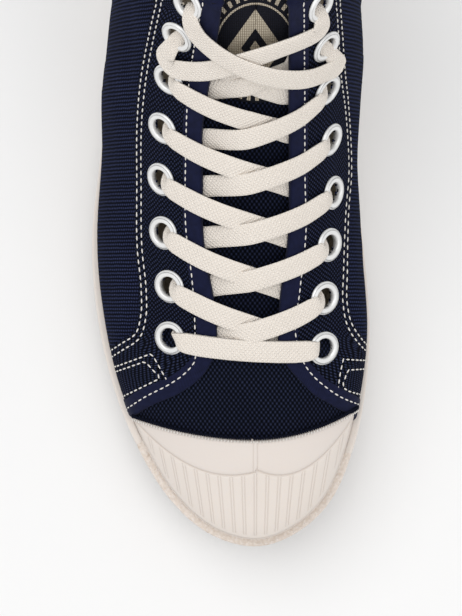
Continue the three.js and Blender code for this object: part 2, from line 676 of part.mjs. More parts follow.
const seats = EYELETS.flatMap(({ lateral, medial }, k) => [
  { name: `eyelet_lateral_${k + 1}`, ...seatOver(lateral) },
  { name: `eyelet_medial_${k + 1}`, ...seatOver(medial) },
]);
add("outsole", makeOutsole(), RUBBER);
add("midsole", makeMidsole(), RUBBER);
add("foxing", makeFoxing(), RUBBER);
add("toe_guard", makeToeGuard(), RUBBER);
add("insole", makeInsole(), LINING);
add("upper", makeUpper(seats), CANVAS);
add("toe_cap", makeToeCap(), RUBBER);
add("tongue", makeTongue(), CANVAS);
for (const seat of seats) add(seat.name, makeEyelet(seat), METAL);
add("lace_bar", makeLaceBar(), COTTON);
for (let k = 1; k < PAIRS; k += 1) add(`lace_crossing_${k + 1}`, makeLaceCrossing(k), COTTON);

export default shoe;
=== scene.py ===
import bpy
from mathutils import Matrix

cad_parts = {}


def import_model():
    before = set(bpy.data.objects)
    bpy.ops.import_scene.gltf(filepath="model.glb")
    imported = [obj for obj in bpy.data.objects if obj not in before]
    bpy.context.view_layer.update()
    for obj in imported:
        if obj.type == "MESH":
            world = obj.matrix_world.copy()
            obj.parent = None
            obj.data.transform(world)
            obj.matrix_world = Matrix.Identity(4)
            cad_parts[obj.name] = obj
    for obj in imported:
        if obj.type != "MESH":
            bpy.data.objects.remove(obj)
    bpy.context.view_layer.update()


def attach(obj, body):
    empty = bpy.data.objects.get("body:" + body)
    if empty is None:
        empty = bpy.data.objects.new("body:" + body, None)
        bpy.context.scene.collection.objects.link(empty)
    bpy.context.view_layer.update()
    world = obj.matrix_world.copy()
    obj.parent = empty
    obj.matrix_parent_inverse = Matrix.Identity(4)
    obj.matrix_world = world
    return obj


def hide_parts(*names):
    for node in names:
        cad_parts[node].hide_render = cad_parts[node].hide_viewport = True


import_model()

"""Looks of a laced canvas high-top, right foot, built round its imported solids.

Shapes are worked out in millimetres from the same sections of the last as the solids, and written in metres.
+Z is up, the toe points to -Y and the medial side is +X.
"""

import logging
import math
from collections.abc import Callable, Iterable
from dataclasses import dataclass, field
from enum import Enum
from functools import cache

import bmesh
import bpy
import numpy as np
from mathutils import Matrix, Vector

LOG = logging.getLogger("high_top")
METRE = 0.001

Array = np.ndarray
Pair = tuple[float, float]
Socket = bpy.types.NodeSocket
Material = bpy.types.Material

# Driving dimensions in millimetres, as in the solids.
LENGTH = 271.0
BALL_WIDTH = 98.0
SHAFT_HEIGHT = 139.0
GAP = 0.3
FOXING_THICK = 2.7
OUTSOLE_THICK = 5.0
TOE_SPRING = 9.0
SPRING_START = -72.0
ARCH = (2.0, 62.0, 1.2)
TONGUE_DEPTH = 4.0
LACE_WIDTH = 8.0
LACE_THICK = 1.35
EYELET_HOLE_R = 3.6
EYELET_FLANGE_R = 5.95

COLUMNS = ("along", "out", "topAlong", "topOut", "topRise", "face", "steep", "turn", "rise", "bulge", "reach")
LATERAL_ROWS = (
    (0, -15.9, 7.8, -15.7, 31.5, 0, 24, 0, 13, 2, 9),
    (1.9, 18.0, 8.8, -15.5, 32.2, 0, 21, 35, 13, 2, 10),
    (6.7, 46.6, 11.0, -15.2, 33.6, 0, 19, 60, 13, 2, 12),
    (13.8, 69.8, 14.6, -14.8, 35.8, 0, 18.5, 78, 14, 4, 14),
    (22.0, 86.8, 20.5, -13.8, 39.8, 0, 19.5, 90, 15, 6, 15),
    (31.3, 97.4, 28.4, -12.7, 45.3, 0, 21.5, 90, 17, 5, 16),
    (40.3, 100, 37.3, -11.9, 52.4, 0, 24, 90, 22, 5, 17),
    (50, 94.6, 45.5, -11.4, 59.7, 0, 27.5, 90, 29, 8, 18),
    (58.2, 87.8, 53.0, -11.9, 68, 0, 36, 90, 42, 17, 20),
    (64.2, 83.0, 60.1, -14.4, 80.5, 0, 48, 90, 56, 19, 21),
    (69.8, 78.8, 67.4, -17.6, 100, 0, 58, 80, 64, 20, 21),
    (76.1, 75.5, 72.4, 29.6, 99.3, 50, 78, 25, 46, 16, 34),
    (82.8, 72.6, 82.1, 58.2, 98.2, 90, 88, 0, 32, 10, 38),
    (89.9, 65.6, 91.0, 44.4, 98.2, 140, 92, 0, 30, 7, 38),
    (96.8, 43.4, 95.3, 23.3, 98.6, 162, 93, 0, 30, 5, 38),
    (100, -3.2, 96.8, -3.2, 98.9, 180, 93, 0, 30, 4, 38),
)
MEDIAL_ROWS = (
    (0, 15.9, 7.8, 15.7, 31.5, 0, 24, 0, 13, 2, 9),
    (1.7, 46.6, 8.8, 15.5, 32.2, 0, 21, 35, 13, 2, 10),
    (6.0, 72.0, 11.0, 15.2, 33.6, 0, 19, 60, 13, 2, 12),
    (12.5, 87.8, 14.6, 14.8, 35.8, 0, 18.5, 78, 14, 3, 14),
    (20.1, 96.9, 20.5, 13.8, 39.8, 0, 19.5, 90, 15, 7.5, 16),
    (28.7, 100, 28.4, 12.7, 45.3, 0, 21.5, 90, 17, 10, 17),
    (38.8, 95.7, 37.3, 11.9, 52.4, 0, 24, 90, 22, 9, 19),
    (48.9, 89.3, 45.5, 11.4, 59.7, 0, 27.5, 90, 29, 9, 21),
    (57.5, 85.0, 53.0, 11.9, 68, 0, 36, 90, 42, 15, 22),
    (63.4, 84.2, 60.1, 14.4, 80.5, 0, 48, 90, 56, 18, 22),
    (69.4, 83.2, 67.4, 17.6, 100, 0, 58, 80, 64, 18, 22),
    (76.1, 82.1, 72.4, 59.3, 99.3, 50, 78, 25, 46, 14, 34),
    (82.8, 79.6, 82.1, 68.8, 98.2, 90, 88, 0, 32, 11, 38),
    (89.9, 71.5, 91.0, 52.9, 98.2, 140, 92, 0, 30, 8, 38),
    (96.8, 48.7, 95.3, 30.7, 98.6, 162, 93, 0, 30, 5, 38),
    (100, 3.2, 96.8, 3.2, 98.9, 180, 93, 0, 30, 4, 38),
)
LAST_ROW = len(LATERAL_ROWS) - 1
SHAFT_FRONT = 10

# y, height of the floor inside, height of the foxing's top edge.
SOLE_LEVELS = np.array([
    (-134, 19.5, 30.5), (-104, 16.5, 27.5), (-66, 14.5, 26), (0, 15, 26.5), (70, 17, 28.5), (134, 18, 30),
])
# y, lateral and medial edge of the throat.
THROAT = np.array([
    (-66, -5.4, 16.8), (-56, -5.7, 17.0), (-46, -7.1, 17.8), (-36, -9.2, 19.4), (-26, -10.4, 20.5),
    (-8, -10.5, 20.7), (8, -10.4, 20.4), (20, -8.4, 20.1), (32, -6.0, 19.9), (42, -4.3, 19.7),
    (70, -3.6, 19.2),
])
# Plan places of the eyelets from the toe up, lateral and medial.
EYELETS = (
    ((-21.0, -61.8), (32.0, -65.4)), ((-21.1, -44.0), (32.2, -48.0)), ((-23.1, -25.6), (33.7, -29.7)),
    ((-23.8, -7.4), (35.0, -11.8)), ((-23.1, 9.6), (33.9, 5.9)), ((-20.8, 25.3), (32.3, 22.0)),
    ((-17.8, 38.5), (31.6, 35.6)), ((-14.1, 48.1), (29.3, 47.7)),
)
RIDGE_X = 6.0


class Side(Enum):
    """The two sides of the shoe, by the sign of X."""

    LATERAL = -1
    MEDIAL = 1

    @property
    def word(self) -> str:
        """The side's name in lower case."""
        return self.name.lower()


def spline(a: Array, b: Array, c: Array, d: Array, t: Array) -> Array:
    """A Catmull-Rom curve between b and c.

    Args:
        a, b, c, d: four values in a row.
        t: share of the way from b to c.

    Returns:
        The curve's value.
    """
    return b + 0.5 * t * (c - a + t * (2 * a - 5 * b + 4 * c - d + t * (3 * (b - c) + d - a)))


def smooth_table(x: Array, xs: Iterable[float], ys: Iterable[float]) -> Array:
    """A smooth curve through a short table, level beyond its ends.

    Args:
        x: where to read it.
        xs: rising places.
        ys: values there.

    Returns:
        The values at x.
    """
    xs, ys = np.asarray(xs, float), np.asarray(ys, float)
    slope = np.gradient(ys, xs)
    x = np.clip(x, xs[0], xs[-1])
    k = np.clip(np.searchsorted(xs, x, side="right") - 1, 0, len(xs) - 2)
    span = xs[k + 1] - xs[k]
    t = (x - xs[k]) / span
    return (
        (1 + 2 * t) * (1 - t) ** 2 * ys[k]
        + t * (1 - t) ** 2 * span * slope[k]
        + t * t * (3 - 2 * t) * ys[k + 1]
        + t * t * (t - 1) * span * slope[k + 1]
    )


def unit(v: Array) -> Array:
    """Vectors brought to length one, along the last axis."""
    return v / np.maximum(np.linalg.norm(v, axis=-1, keepdims=True), 1e-9)


def smoothstep(x: Array, low: float, high: float) -> Array:
    """A soft step from 0 at low to 1 at high."""
    t = np.clip((x - low) / (high - low), 0, 1)
    return t * t * (3 - 2 * t)


def run_of(points: Array) -> Array:
    """The distance run at each point of a line, from 0 at its start."""
    return np.concatenate([[0], np.cumsum(np.linalg.norm(np.diff(points, axis=0), axis=1))])


def read_keys(share: Array, keys: Array) -> tuple[Array, ...]:
    """The columns of a table of evenly spaced keys.

    Args:
        share: where to read it, 0 at the first key and 1 at the last.
        keys: the table, a row for each key.

    Returns:
        The values of each column.
    """
    k = share * (len(keys) - 1)
    return tuple(np.interp(k, np.arange(len(keys)), column) for column in keys.T)


def halved(
    low: Array, high: Array, passes: int, holds: Callable[[Array], Array]
) -> tuple[Array, Array]:
    """Closes in on the places up to which a test holds.

    Args:
        low: places where it holds.
        high: places where it doesn't.
        passes: how often the span between them is halved.
        holds: the test.

    Returns:
        The places just before and just after.
    """
    for _ in range(passes):
        middle = (low + high) / 2
        held = holds(middle)
        low, high = np.where(held, middle, low), np.where(held, high, middle)
    return low, high


class Last:
    """The form that the shoe is built on: a surface over u (toe tip to heel) and v (foxing's edge to top)."""

    def __init__(self) -> None:
        """Reads the section tables, each extended past toe and heel by the other side's rows."""
        self.tables = {name: self._extended(k) for k, name in enumerate(COLUMNS)}

    @staticmethod
    def _extended(k: int) -> dict[int, Array]:
        """Column k of both sides, with the rows before the toe and after the heel.

        Args:
            k: the column's place.

        Returns:
            The values by side sign.
        """
        name = COLUMNS[k]
        rows = {-1: LATERAL_ROWS, 1: MEDIAL_ROWS}
        made = {}
        for sign, own in rows.items():
            before, after = rows[-sign][1][k], rows[-sign][LAST_ROW - 1][k]
            if name in ("out", "topOut", "face"):
                before, after = -before, (360 - after if name == "face" else -after)
            elif name == "turn":
                before = -before
            made[sign] = np.array([before, *(r[k] for r in own), after], float)
        return made

    def column(self, side: Array, u: Array, name: str) -> Array:
        """One column of the sections anywhere between rows.

        Args:
            side: signs of the sides.
            u: row coordinates.
            name: the column.

        Returns:
            The values.
        """
        row = np.clip(np.floor(u), 0, LAST_ROW - 1).astype(int)
        cornered = name.startswith("top") or name == "face"

        def along(values: Array) -> Array:
            """One side's values, with a corner at the shaft's front where the column has one."""
            a, b, c, d = (values[row + k] for k in range(4))
            if cornered:
                a = np.where(row == SHAFT_FRONT, 2 * b - c, a)
                d = np.where(row + 1 == SHAFT_FRONT, 2 * c - b, d)
            return spline(a, b, c, d, u - row)

        return np.where(side < 0, along(self.tables[name][-1]), along(self.tables[name][1]))

    @staticmethod
    def level(y: Array, column: int) -> Array:
        """Height of the inside floor (1) or of the foxing's top edge (2) at y."""
        ys, values = SOLE_LEVELS[:, 0], SOLE_LEVELS[:, column]
        k = np.clip(np.searchsorted(ys, y, side="left") - 1, 0, len(ys) - 2)
        t = np.clip((y - ys[k]) / (ys[k + 1] - ys[k]), 0, 1)
        before, after = values[np.maximum(k - 1, 0)], values[np.minimum(k + 2, len(ys) - 1)]
        return spline(before, values[k], values[k + 1], after, t)

    def _plan(self, side: Array, u: Array) -> tuple[Array, Array]:
        """The sole's edge in plan."""
        x = side * BALL_WIDTH / 200 * self.column(side, u, "out")
        return x, LENGTH * (self.column(side, u, "along") / 100 - 0.5)

    def edge(
        self, side: Array, u: Array, inset: Array | float = 0.0
    ) -> tuple[Array, ...]:
        """The sole's edge moved inwards.

        Args:
            side: signs of the sides.
            u: row coordinates.
            inset: millimetres inwards.

        Returns:
            x, y and the outward direction's two parts.
        """
        step = 0.02
        x, y = self._plan(side, u)
        x0, y0 = self._plan(side, np.maximum(u - step, 0))
        x1, y1 = self._plan(side, np.minimum(u + step, LAST_ROW))
        ox, oy = side * (y1 - y0), -side * (x1 - x0)
        size = np.maximum(np.hypot(ox, oy), 1e-9)
        ox, oy = ox / size, oy / size
        toe, heel = u <= 0, u >= LAST_ROW
        ox = np.where(toe | heel, 0.0, ox)
        oy = np.where(toe, -1.0, np.where(heel, 1.0, oy))
        return x - inset * ox, y - inset * oy, ox, oy

    def point(
        self, side: Array, u: Array, v: Array, depth: Array | float = 0.0
    ) -> Array:
        """Points of the surface depth millimetres inside the upper's outer face.

        Args:
            side: signs of the sides.
            u: row coordinates.
            v: places up the sections, below 0 for the straight stretch behind the foxing.
            depth: millimetres inwards.

        Returns:
            The points, x, y and z on the last axis.
        """
        side, u, v, depth = np.broadcast_arrays(*(np.asarray(a, float) for a in (side, u, v, depth)))
        get = lambda name: self.column(side, u, name)
        x, y, ox, oy = self.edge(side, u, FOXING_THICK + GAP + depth)
        face, steep, turn = (np.radians(get(n)) for n in ("face", "steep", "turn"))
        tape = self.level(y, 2)
        p0 = np.stack([x, y, tape], -1)
        sin_steep, cos_steep = np.sin(steep), np.cos(steep)
        normal = np.stack([side * np.sin(face) * sin_steep, -np.cos(face) * sin_steep, cos_steep], -1)
        downhill = np.stack([side * np.sin(face) * cos_steep, -np.cos(face) * cos_steep, -sin_steep], -1)
        sideways = np.stack([side * np.cos(face), np.sin(face), 0 * face], -1)
        heading = downhill * np.cos(turn)[..., None] + sideways * np.sin(turn)[..., None]
        bulge = get("bulge")
        p1 = p0 + np.stack([ox * bulge, oy * bulge, get("rise")], -1)
        top = np.stack(
            [side * BALL_WIDTH / 200 * get("topOut"), LENGTH * (get("topAlong") / 100 - 0.5),
             SHAFT_HEIGHT / 100 * get("topRise")], -1)
        p3 = top - normal * depth[..., None]
        p2 = p3 + heading * get("reach")[..., None]
        w, t = (1 - np.maximum(v, 0))[..., None], np.maximum(v, 0)[..., None]
        curve = w**3 * p0 + 3 * t * w * w * p1 + 3 * t * t * w * p2 + t**3 * p3
        drop = np.minimum(v, 0) * (tape - self.level(y, 1) - GAP)
        curve[..., 2] += drop
        return curve

    def slopes(self, side: Array, u: Array, v: Array) -> tuple[Array, Array]:
        """The surface's change with u and with v."""
        h = 1e-3
        along = (self.point(side, u + h, v) - self.point(side, u - h, v)) / (2 * h)
        up = (self.point(side, u, v + h) - self.point(side, u, v - h)) / (2 * h)
        return along, up

    def normal(self, side: Array, u: Array, v: Array) -> Array:
        """The surface's outward normals."""
        along, up = self.slopes(side, u, v)
        return unit(np.cross(along, up) * np.asarray(side, float)[..., None])

    def over(self, side: Array, x: Array, y: Array) -> tuple[Array, Array]:
        """The places over plan points, by Newton's method.

        Args:
            side: signs of the sides.
            x, y: the plan points.

        Returns:
            The u and the v at which a vertical line through each point meets the side.
        """
        side, x, y = np.broadcast_arrays(*(np.asarray(a, float) for a in (side, x, y)))
        u, v = 4.7 + (y + 62) / 21, np.full(x.shape, 0.7)
        for _ in range(60):
            p = self.point(side, u, v)
            pu, pv = self.slopes(side, u, v)
            det = pu[..., 0] * pv[..., 1] - pu[..., 1] * pv[..., 0]
            ex, ey = x - p[..., 0], y - p[..., 1]
            u = u + np.clip((ex * pv[..., 1] - ey * pv[..., 0]) / det, -0.3, 0.3)
            v = np.clip(v + np.clip((ey * pu[..., 0] - ex * pu[..., 1]) / det, -0.08, 0.08), 0.02, 0.999)
            u = np.clip(u, 0.05, LAST_ROW - 0.05)
        return u, v


LAST = Last()


def underside(y: Array) -> Array:
    """Height of the tread's underside: toe spring, arch, and flat elsewhere."""
    spring = TOE_SPRING * np.clip((SPRING_START - y) / (LENGTH / 2 + SPRING_START), 0, None) ** 2
    start, end, lift = ARCH
    inside = (y > start) & (y < end)
    return spring + np.where(inside, lift / 2 * (1 - np.cos(2 * np.pi * (y - start) / (end - start))), 0)


def throat_v(side: float, u: Array) -> Array:
    """How far up each section the facing reaches: its edge on the throat, or the collar where there is none.

    Args:
        side: the side's sign.
        u: row coordinates.

    Returns:
        The places up the sections.
    """
    column = 1 if side < 0 else 2

    def outside(v: Array) -> Array:
        """Whether a place lies outside the throat."""
        p = LAST.point(side, u, v)
        edge = smooth_table(p[..., 1], THROAT[:, 0], THROAT[:, column])
        return (side * (p[..., 0] - edge) > 0) | (u > SHAFT_FRONT + 0.9)

    return halved(np.full(u.shape, 0.35), np.ones(u.shape), 26, outside)[0]


@dataclass(frozen=True)
class Trail:
    """A curve that lies on one side of the last.

    Attributes:
        side: the side's sign.
        u: row coordinates along it.
        v: places up the sections.
    """

    side: float
    u: Array
    v: Array

    @classmethod
    def resampled(cls, side: float, u: Array, v: Array, spacing: float, soften: int = 0) -> "Trail":
        """The curve with even steps.

        Args:
            side: the side's sign.
            u, v: the curve.
            spacing: step in millimetres.
            soften: smoothing passes, to round corners.

        Returns:
            The new trail.
        """
        p = LAST.point(side, u, v)
        run = run_of(p)
        count = max(2, round(run[-1] / spacing))
        at = np.linspace(0, run[-1], count + 1)
        u, v = np.interp(at, run, u), np.interp(at, run, v)
        for _ in range(soften):
            u[1:-1], v[1:-1] = (u[:-2] + 2 * u[1:-1] + u[2:]) / 4, (v[:-2] + 2 * v[1:-1] + v[2:]) / 4
        return cls(side, u, v)

    @classmethod
    def through(
        cls, side: float, plan: Iterable[Pair], spacing: float, soft: bool = True
    ) -> "Trail":
        """A curve over plan points.

        Args:
            side: the side's sign.
            plan: the plan points.
            spacing: step in millimetres.
            soft: smooth, or with straight stretches.

        Returns:
            The trail.
        """
        pts = np.array(list(plan), float)
        at = run_of(pts)
        fine = np.linspace(0, at[-1], max(8, int(at[-1] / 1.5)))
        read = smooth_table if soft else np.interp
        u, v = LAST.over(side, read(fine, at, pts[:, 0]), read(fine, at, pts[:, 1]))
        return cls.resampled(side, u, v, spacing)

    def moved(self, width: float) -> "Trail":
        """The curve that runs beside this one.

        Args:
            width: millimetres to the left, negative to the right.

        Returns:
            The trail.
        """
        points = LAST.point(self.side, self.u, self.v)
        across = unit(np.cross(LAST.normal(self.side, self.u, self.v), unit(np.gradient(points, axis=0))))
        pu, pv = LAST.slopes(self.side, self.u, self.v)
        e, f, g = (np.sum(a * b, -1) for a, b in ((pu, pu), (pu, pv), (pv, pv)))
        a, b = np.sum(pu * across, -1) * width, np.sum(pv * across, -1) * width
        det = e * g - f * f
        u, v = self.u + (a * g - b * f) / det, self.v + (b * e - a * f) / det
        return Trail(self.side, u, np.minimum(v, 1.02))

    def beside(self, width: float, lift: float) -> Array:
        """The points width millimetres to the left of the curve, lifted off the folded cloth.

        Args:
            width: sideways distance, negative to the right.
            lift: height off the cloth.

        Returns:
            The points.
        """
        trail = self.moved(width)
        points = LAST.point(trail.side, trail.u, trail.v)
        height = lift + relief(self.side, points)
        return points + LAST.normal(trail.side, trail.u, trail.v) * height[:, None]

    def ahead(self, width: float, lift: float) -> tuple[Array, Array, Array]:
        """Points beside the curve with its running direction and the surface normal there."""
        p = self.beside(width, lift)
        return p, unit(np.gradient(p, axis=0)), LAST.normal(self.side, self.u, self.v)


@dataclass(frozen=True)
class Fold:
    """A soft trough or ridge in the canvas.

    Attributes:
        side: the side it lies on.
        plan: plan points of its line.
        height: millimetres, negative for a trough.
        width: half its width in millimetres.
    """

    side: Side
    plan: tuple[Pair, ...]
    height: float
    width: float

    @cache
    def line(self) -> Array:
        """Points of its line on the last."""
        trail = Trail.through(self.side.value, self.plan, 3.0)
        return LAST.point(trail.side, trail.u, trail.v)

    def lift(self, points: Array) -> Array:
        """How far it lifts each point off the surface."""
        line = self.line()
        fade = np.sin(np.linspace(0.12, 0.88, len(line)) * np.pi)
        flat = points.reshape(-1, 3)
        gap = np.linalg.norm(flat[:, None, :] - line[None, :, :], axis=2)
        nearest = gap.argmin(axis=1)
        amount = self.height * fade[nearest] * np.exp(-((gap.min(axis=1) / self.width) ** 2))
        return amount.reshape(points.shape[:-1])


FOLDS = (
    Fold(Side.LATERAL, ((-43.0, 44.0), (-45.5, 10.0), (-47.0, -36.0)), 1.3, 12.0),
    Fold(Side.MEDIAL, ((43.5, 46.0), (45.5, 18.0), (46.5, -22.0)), 2.0, 12.0),
    Fold(Side.LATERAL, ((-33.5, 56.0), (-34.5, 36.0), (-35.5, 14.0)), -0.6, 3.0),
    Fold(Side.LATERAL, ((-29.5, 56.0), (-31.0, 38.0), (-33.0, 18.0)), 0.5, 2.6),
    Fold(Side.LATERAL, ((-41.0, 42.0), (-41.0, 24.0), (-38.0, 8.0)), 0.35, 5.0),
    Fold(Side.LATERAL, ((-36.0, -58.0), (-42.0, -50.0), (-45.0, -40.0)), -0.45, 4.5),
    Fold(Side.MEDIAL, ((37.5, 52.0), (39.0, 36.0), (42.0, 12.0)), 0.4, 3.0),
    Fold(Side.MEDIAL, ((40.0, -60.0), (43.0, -48.0), (46.0, -36.0)), -0.35, 4.5),
    Fold(Side.MEDIAL, ((12.0, -80.0), (24.0, -77.0), (34.0, -70.0)), -0.35, 5.0),
    Fold(Side.LATERAL, ((0.0, -80.5), (-12.0, -76.0), (-22.0, -70.0)), -0.35, 5.0),
)


def relief(side: float, points: Array) -> Array:
    """The lift of all folds of one side at these points."""
    return sum((f.lift(points) for f in FOLDS if f.side.value == side), np.zeros(points.shape[:-1]))


# --- Finishes ---


def tone(red: float, green: float, blue: float) -> tuple[float, float, float, float]:
    """A colour given in 0 to 255 display values, as linear light."""
    parts = (c / 255 for c in (red, green, blue))
    return (*(c / 12.92 if c <= 0.04045 else ((c + 0.055) / 1.055) ** 2.4 for c in parts), 1.0)


class Graph:
    """A material's node tree, with short calls to add and join nodes."""

    def __init__(self, name: str) -> None:
        """Starts a material with its Principled shader."""
        self.material = bpy.data.materials.new(name)
        self.material.use_nodes = True
        self.tree = self.material.node_tree
        self.shader = self.tree.nodes["Principled BSDF"]

    def put(self, node: bpy.types.Node, socket: str | int, value: object) -> None:
        """Sets or links one input of a node."""
        if isinstance(value, Socket):
            self.tree.links.new(value, node.inputs[socket])
        else:
            node.inputs[socket].default_value = value

    def add(
        self, kind: str, inputs: dict[str | int, object] | None = None, **settings: object
    ) -> bpy.types.Node:
        """Adds a node.

        Args:
            kind: the node's type without its ShaderNode prefix.
            inputs: values or sockets for its inputs.
            settings: its own properties.

        Returns:
            The node.
        """
        node = self.tree.nodes.new("ShaderNode" + kind)
        for key, value in settings.items():
            setattr(node, key, value)
        for socket, value in (inputs or {}).items():
            self.put(node, socket, value)
        return node

    def maths(self, how: str, a: object, b: object = 0.0) -> Socket:
        """The result of one Math node."""
        return self.add("Math", {0: a, 1: b}, operation=how).outputs[0]

    def times(self, a: object, b: object) -> Socket:
        """The product of two values."""
        return self.maths("MULTIPLY", a, b)

    def plus(self, a: object, b: object) -> Socket:
        """The sum of two values."""
        return self.maths("ADD", a, b)

    def minus(self, a: object, b: object) -> Socket:
        """The first value less the second."""
        return self.maths("SUBTRACT", a, b)

    def shade(self, socket: str, value: object) -> None:
        """Sets or links one input of the shader."""
        self.put(self.shader, socket, value)

    def wave(self, place: Socket, pitch: float, rounded: bool = False) -> Socket:
        """A sine over place from 0 to 1 with that pitch, or its rounded ridges."""
        turn = math.pi if rounded else 2 * math.pi
        sine = self.maths("SINE", self.maths("MULTIPLY", place, turn / pitch))
        if rounded:
            return self.maths("ABSOLUTE", sine)
        return self.maths("ADD", self.maths("MULTIPLY", sine, 0.5), 0.5)

    def blend(self, share: object, a: object, b: object) -> Socket:
        """A colour between a and b."""
        node = self.add("Mix", {0: share, 6: a, 7: b}, data_type="RGBA")
        return node.outputs[2]

    def grain(self, place: object, scale: float, detail: float = 3.0) -> Socket:
        """Noise from 0 to 1."""
        return self.add("TexNoise", {"Vector": place, "Scale": scale, "Detail": detail}).outputs[0]

    def bump(self, height: object, depth: float, strength: float = 1.0) -> None:
        """Gives the shader a bump of that depth in metres."""
        node = self.add("Bump", {"Height": height, "Distance": depth, "Strength": strength})
        self.put(self.shader, "Normal", node.outputs[0])

    def flat(self, turn: float = 0.0) -> tuple[Socket, Socket, Socket]:
        """The cloth's own place in millimetres: as a vector and as its two parts, turned by an angle."""
        uv = self.add("UVMap", uv_map="cloth").outputs[0]
        if turn:
            uv = self.add("Mapping", {0: uv, "Rotation": (0, 0, turn)}).outputs[0]
        parts = self.add("SeparateXYZ", {0: uv})
        return uv, parts.outputs[0], parts.outputs[1]

    def solid_place(self) -> Socket:
        """Object coordinates."""
        return self.add("TexCoord").outputs["Object"]


class Weave(Enum):
    """How a cloth is woven."""

    WEFT_RIB = "ribs across the shoe's length"
    DOTTED = "coarse plain weave"
    BASKET = "grid of small squares"


@dataclass(frozen=True)
class Canvas:
    """Navy cotton canvas.

    Attributes:
        name: the material's name.
        weave: how it is woven.
        pitch: millimetres between threads.
        light: colour on top of the threads.
        dark: colour between them.
        turn: angle of the weave on the cloth.
        cross: pitch across the cloth, as a share of the pitch along it.
    """

    name: str
    weave: Weave
    pitch: float
    light: tuple[float, ...]
    dark: tuple[float, ...]
    turn: float = 0.0
    cross: float = 1.0

    def build(self) -> Material:
        """Builds the material.

        Returns:
            The material.
        """
        g = Graph(self.name)
        place, x, y = g.flat(self.turn)
        wobble = g.times(g.minus(g.grain(place, 0.35), 0.5), 0.5)
        x, y = g.plus(x, wobble), g.plus(y, wobble)
        if self.weave is Weave.WEFT_RIB:
            ribs = g.wave(x, self.pitch, rounded=True)
            odd = g.times(g.maths("FLOOR", g.maths("DIVIDE", x, self.pitch)), self.pitch * 0.45)
            cross = g.wave(g.plus(y, odd), self.pitch * 0.9)
            height = g.times(ribs, g.plus(g.times(cross, 0.45), 0.55))
        elif self.weave is Weave.DOTTED:
            sine = g.minus(g.times(g.wave(x, self.pitch), 2.0), 1.0)
            cosine = g.minus(g.times(g.wave(y, self.pitch * self.cross), 2.0), 1.0)
            height = g.plus(g.times(g.times(sine, cosine), 0.5), 0.5)
        else:
            ribs = g.wave(x, self.pitch, rounded=True)
            height = g.times(ribs, g.wave(y, self.pitch, rounded=True))
        fibre = g.grain(place, 3.5, 4.0)
        patchy = g.grain(place, 0.06, 2.0)
        share = g.times(g.maths("POWER", height, 2.6), g.plus(g.times(fibre, 1.5), 0.2))
        share = g.times(share, g.plus(g.times(patchy, 0.6), 0.7))
        g.shade("Base Color", g.blend(g.maths("MINIMUM", share, 1.0), self.dark, self.light))
        g.shade("Roughness", 0.95)
        g.shade("Specular IOR Level", 0.05)
        g.shade("Sheen Weight", 0.02)
        g.shade("Sheen Roughness", 0.6)
        g.shade("Sheen Tint", tone(120, 130, 170))
        g.bump(g.plus(height, g.times(fibre, 0.35)), 0.00035, 0.9)
        return g.material


@dataclass(frozen=True)
class PlainCloth:
    """Smooth close-woven cloth, such as binding tape, lining and insole cloth.

    Attributes:
        name: the material's name.
        light: main colour.
        dark: colour in its hollows.
        pitch: millimetres between threads.
        sheen: how silky it is.
    """

    name: str
    light: tuple[float, ...]
    dark: tuple[float, ...]
    pitch: float = 0.45
    sheen: float = 0.04

    def build(self) -> Material:
        """Builds the material.

        Returns:
            The material.
        """
        g = Graph(self.name)
        place, x, y = g.flat(0.785)
        threads = g.times(g.wave(x, self.pitch, rounded=True), g.wave(y, self.pitch, rounded=True))
        mottle = g.grain(place, 0.5, 4.0)
        share = g.plus(g.times(threads, 0.35), g.times(mottle, 0.75))
        g.shade("Base Color", g.blend(g.maths("MINIMUM", share, 1.0), self.dark, self.light))
        g.shade("Roughness", 0.8)
        g.shade("Specular IOR Level", 0.1)
        g.shade("Sheen Weight", self.sheen)
        g.shade("Sheen Roughness", 0.45)
        g.bump(share, 0.00012, 0.6)
        return g.material


@dataclass(frozen=True)
class LaceCotton:
    """Flat plaited cotton braid; its cloth place is across (x) and along (y).

    Attributes:
        name: the material's name.
        pitch: millimetres between the plait's slanting strands.
    """

    name: str = "lace cotton"
    pitch: float = 1.5

    def build(self) -> Material:
        """Builds the material.

        Returns:
            The material.
        """
        g = Graph(self.name)
        place, x, y = g.flat()
        left = g.wave(g.plus(x, y), self.pitch)
        right = g.wave(g.minus(x, y), self.pitch)
        height = g.times(left, right)
        fuzz = g.grain(place, 4.0, 5.0)
        soil = g.grain(place, 0.08, 3.0)
        share = g.plus(g.times(height, 0.6), g.times(fuzz, 0.75))
        cotton = g.blend(g.maths("MINIMUM", share, 1.0), tone(214, 203, 191), tone(255, 249, 241))
        g.shade("Base Color", g.blend(g.times(soil, 0.2), cotton, tone(214, 200, 184)))
        g.shade("Roughness", 0.95)
        g.shade("Specular IOR Level", 0.15)
        g.shade("Sheen Weight", 0.25)
        g.shade("Sheen Roughness", 0.5)
        g.bump(g.plus(height, g.times(fuzz, 0.8)), 0.0004, 0.9)
        return g.material


